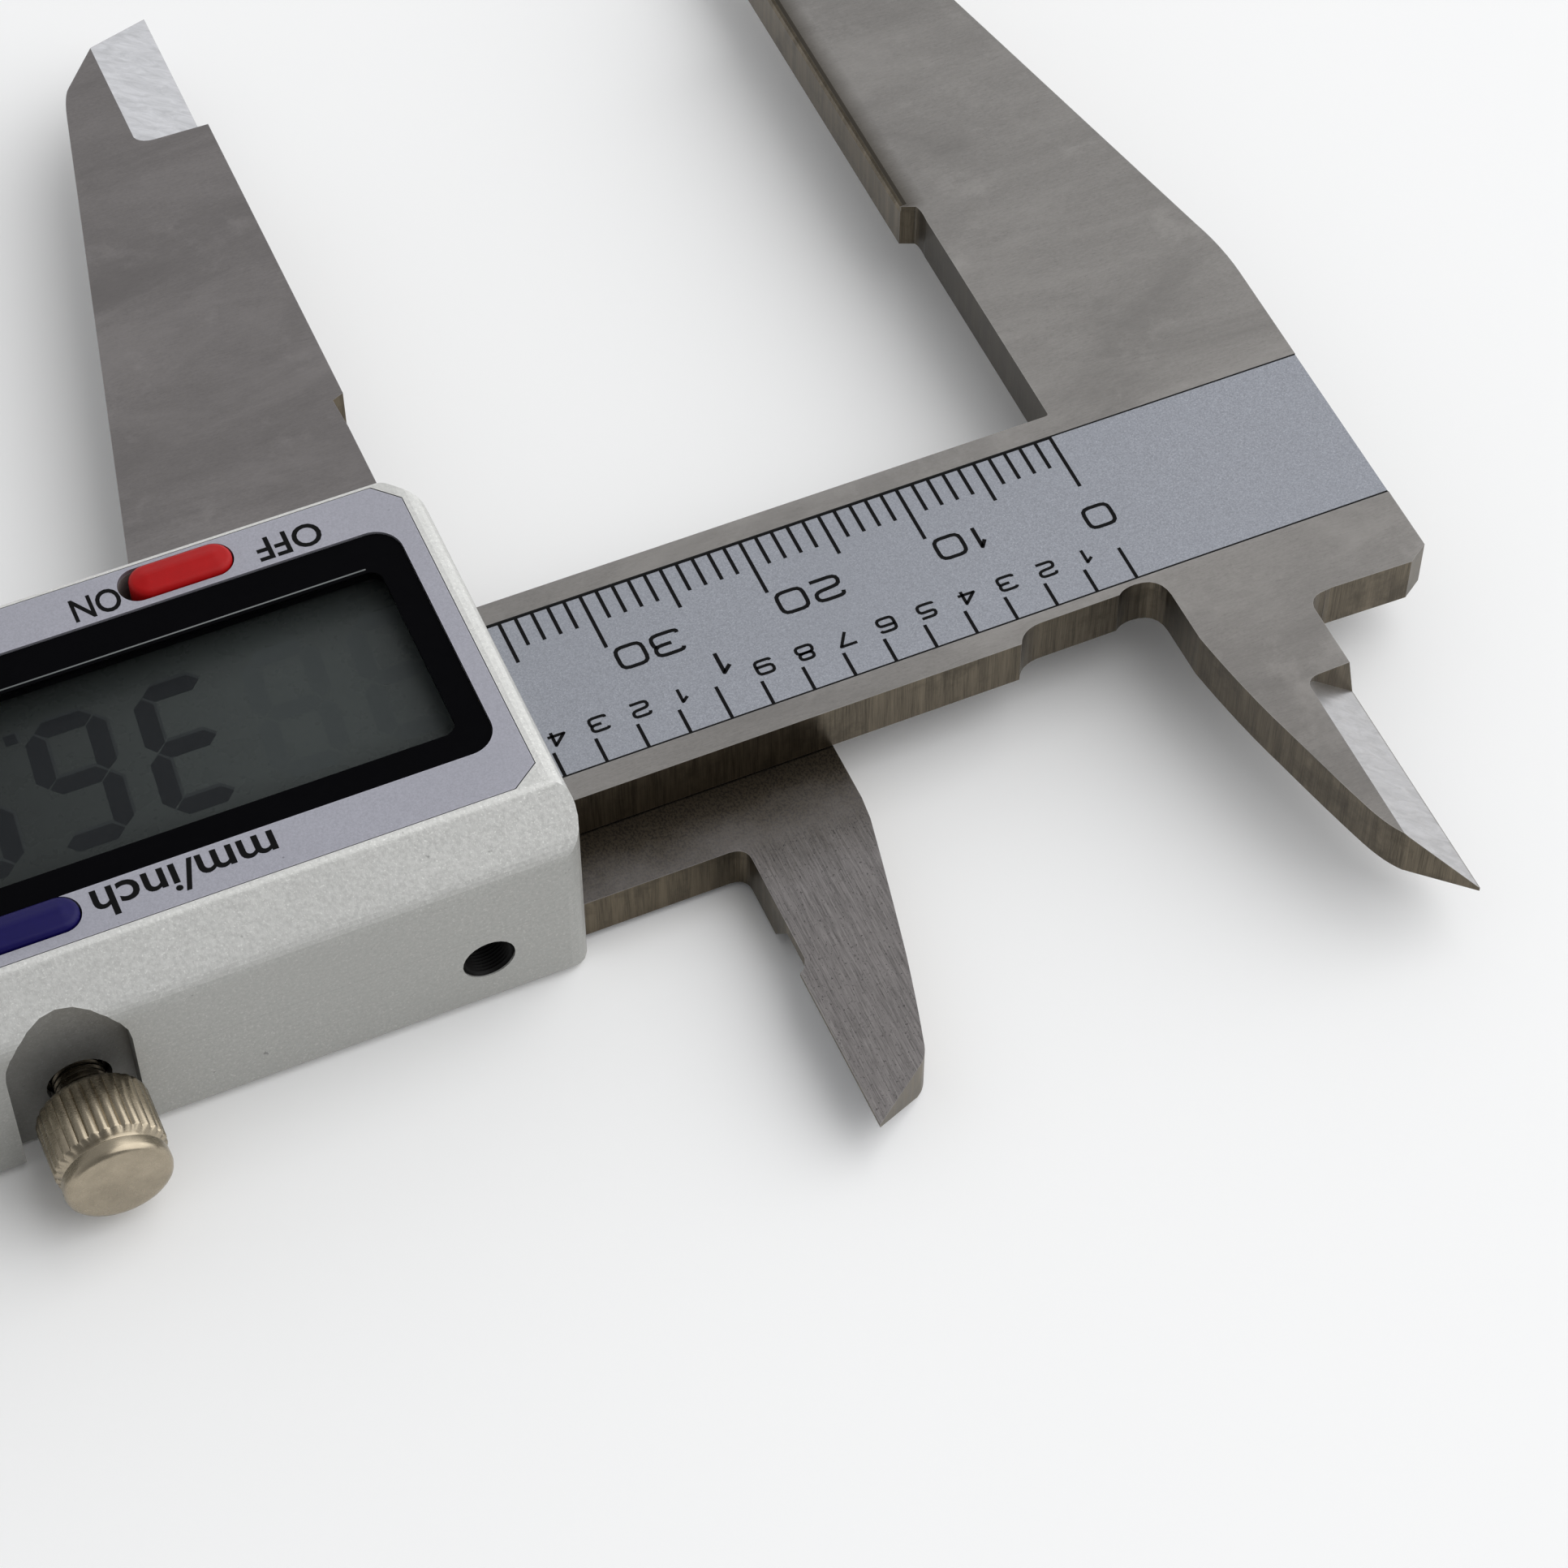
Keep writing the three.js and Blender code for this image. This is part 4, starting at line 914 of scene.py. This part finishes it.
def lock_knob():
    """The lock screw: a thread darkened with painted shade, a knurled grip, a groove and a plain rounded
    head.
    """
    centre = Vector(((KNOB_LOW.x + KNOB_HIGH.x) / 2, 0, (KNOB_LOW.z + KNOB_HIGH.z) / 2))
    r = (KNOB_HIGH.x - KNOB_LOW.x) / 2
    shank, tip, cut = 1.45 * MM, KNOB_LOW.y, 0.17 * MM
    groove, half_groove, pitch = 0.16 * MM, 0.12 * MM, 0.35 * MM
    profile = [(shank - 0.35 * MM, tip, 0), (shank, tip + 0.4 * MM, 0)]
    place = tip + 0.6 * MM
    while place < KNOB_START - 0.4 * MM:
        profile.append((shank, place, 0))
        profile.append((shank - groove, place + half_groove, 0))
        profile.append((shank, place + 2 * half_groove, 0))
        place += pitch
    profile += [(shank, KNOB_START, 0), (r - 0.55 * MM, KNOB_START, 0)]
    profile += [(r - 0.1 * MM, KNOB_START + 0.35 * MM, cut * 0.6), (r, KNOB_START + 0.6 * MM, cut)]
    # The grip's end, the groove and the head: how far in from the radius and back from the end, in
    # millimetres, and the share of the teeth's depth.
    for inset, back, share in ((0, 1.75, 1), (0.06, 1.62, 0.8), (0.44, 1.42, 0), (0.52, 1.25, 0),
                               (0.42, 1.1, 0), (0.14, 0.98, 0), (0.12, 0.45, 0), (0.2, 0.2, 0),
                               (0.36, 0.06, 0), (0.6, 0, 0)):
        profile.append((r - inset * MM, KNOB_HIGH.y - back * MM, cut * share))
    bm = bmesh.new()
    rings = turned(bm, profile, 30, centre, "Y")
    bm.faces.new(rings[0])
    bm.faces.new(list(reversed(rings[-1])))
    piece = add_piece("lock_knob", bm, "lock_screw_body", "nickel", smooth=50)
    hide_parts("lock_screw")
    return piece


def roller():
    """The thumb roller, with its knurled rim and its bore."""
    low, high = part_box("thumb_roller")
    centre = Vector(((low.x + high.x) / 2, (low.y + high.y) / 2, 0))
    r = (high.x - low.x) / 2
    cut, edge, bore = 0.22 * MM, 0.25 * MM, 0.8 * MM
    shoulder = r - edge - cut
    profile = [(bore, low.z, 0), (shoulder, low.z, 0), (r, low.z + edge, cut), (r, high.z - edge, cut),
               (shoulder, high.z, 0), (bore, high.z, 0), (bore, low.z, 0)]
    bm = bmesh.new()
    turned(bm, profile, 30, centre, "Z")
    bmesh.ops.remove_doubles(bm, verts=bm.verts, dist=0.001 * MM)
    piece = add_piece("roller_wheel", bm, "thumb_roller_body", "ground_steel", smooth=40)
    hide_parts("thumb_roller")
    return piece


def screw_sleeve(index):
    """The threaded sleeve in the case wall, outside a gib screw, near black for painted shade deep in the
    hole.
    """
    low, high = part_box(f"gib_screw_{index}")
    centre = Vector(((low.x + high.x) / 2, 0, (low.z + high.z) / 2))
    outer, crest, root, pitch = 1.52 * MM, 1.30 * MM, 1.42 * MM, 0.22 * MM
    start, end = CASE_SIDE - 2.0 * MM, CASE_SIDE - 0.06 * MM
    profile = [(outer, start, 0), (outer, end - 0.08 * MM, 0), (outer - 0.08 * MM, end, 0)]
    place = end - 0.1 * MM
    while place > start + pitch:
        profile += [(root, place, 0), (crest, place - pitch / 2, 0)]
        place -= pitch
    profile += [(root, start, 0), (outer, start, 0)]
    bm = bmesh.new()
    turned(bm, profile, 8, centre, "Y")
    bmesh.ops.remove_doubles(bm, verts=bm.verts, dist=0.001 * MM)
    # Near-black threads: painted shade deep in the hole.
    return add_piece(f"screw_sleeve_{index}", bm, "slider", "hardened_steel", "shaded_thread", 50)


# ---------------------------------------------------------------- stage


def stage():
    """A wide pale floor just under the object."""
    bm = bmesh.new()
    bmesh.ops.create_grid(bm, x_segments=1, y_segments=1, size=6.0)
    mesh = bpy.data.meshes.new("floor")
    bm.to_mesh(mesh)
    bm.free()
    floor = bpy.data.objects.new("floor", mesh)
    floor.location = (0.1, 0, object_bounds()[0].z - 0.02 * MM)
    bpy.context.scene.collection.objects.link(floor)
    tree = Tree("floor", Base_Color=(0.98, 0.98, 0.98, 1), Roughness=0.9)
    mesh.materials.append(tree.material)
    floor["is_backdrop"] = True


def key_light():
    """One large soft light, high on the -X side."""
    place, target = Vector((-0.66, 0.24, 0.80)), Vector((0.03, 0, 0))
    data = bpy.data.lights.new("key_light", "AREA")
    data.shape = "RECTANGLE"
    data.size, data.size_y = 1.5, 1.5
    data.energy = 10.2
    lamp = bpy.data.objects.new("key_light", data)
    lamp.location = place
    lamp.rotation_euler = (target - place).to_track_quat("-Z", "Y").to_euler()
    bpy.context.scene.collection.objects.link(lamp)


def studio():
    """A soft studio, brightest low on the -X side and dim on the +Y side."""
    world = bpy.data.worlds.new("studio")
    bpy.context.scene.world = world
    world.use_nodes = True
    nodes, links = world.node_tree.nodes, world.node_tree.links
    background = nodes["Background"]
    background.inputs["Color"].default_value = (0.98, 0.99, 1.0, 1)
    place = nodes.new("ShaderNodeTexCoord")
    split = nodes.new("ShaderNodeSeparateXYZ")
    links.new(place.outputs["Generated"], split.inputs[0])
    level = None
    # The strength at the start and at the end of each axis's range, multiplied together
    for axis, start, end, at_start, at_end in (("X", -1, 1, 1.55, 0.65), ("Y", -0.1, 0.8, 1.0, 0.35),
                                               ("Z", 0, 0.8, 1.05, 0.5)):
        spread = nodes.new("ShaderNodeMapRange")
        for socket, value in zip(spread.inputs[1:5], (start, end, at_start, at_end)):
            socket.default_value = value
        links.new(split.outputs[axis], spread.inputs["Value"])
        if level is None:
            level = spread.outputs["Result"]
            continue
        product = nodes.new("ShaderNodeMath")
        product.operation = "MULTIPLY"
        links.new(level, product.inputs[0])
        links.new(spread.outputs["Result"], product.inputs[1])
        level = product.outputs[0]
    links.new(level, background.inputs["Strength"])
    bpy.context.scene.view_settings.view_transform = "Standard"


def camera():
    """The photograph's view."""
    place = Vector((81.758, 143.189, 198.415)) * MM
    target = Vector((24.302, 11.141, 3.3)) * MM
    roll = math.radians(-0.107)
    data = bpy.data.cameras.new("camera")
    data.sensor_width = 36
    data.lens = 99.94
    data.clip_start = 0.01
    view = bpy.data.objects.new("camera", data)
    turn = (target - place).to_track_quat("-Z", "Y").to_matrix().to_4x4()
    view.matrix_world = Matrix.Translation(place) @ turn @ Matrix.Rotation(roll, 4, "Z")
    bpy.context.scene.collection.objects.link(view)
    bpy.context.scene.camera = view


camera()
studio()
key_light()
stage()
dress_cad_nodes()
metric_scale()
inch_scale()
label_rims()
panel_words()
display_reading()
window_border()
button_cap("on_off_cap", "on_off_button", "on_off_button_body", "red_button")
button_cap("zero_cap", "zero_button", "zero_button_body", "yellow_button")
button_cap("mm_inch_cap", "mm_inch_button", "mm_inch_button_body", "blue_button")
lock_knob()
roller()
screw_sleeve(1)
screw_sleeve(2)
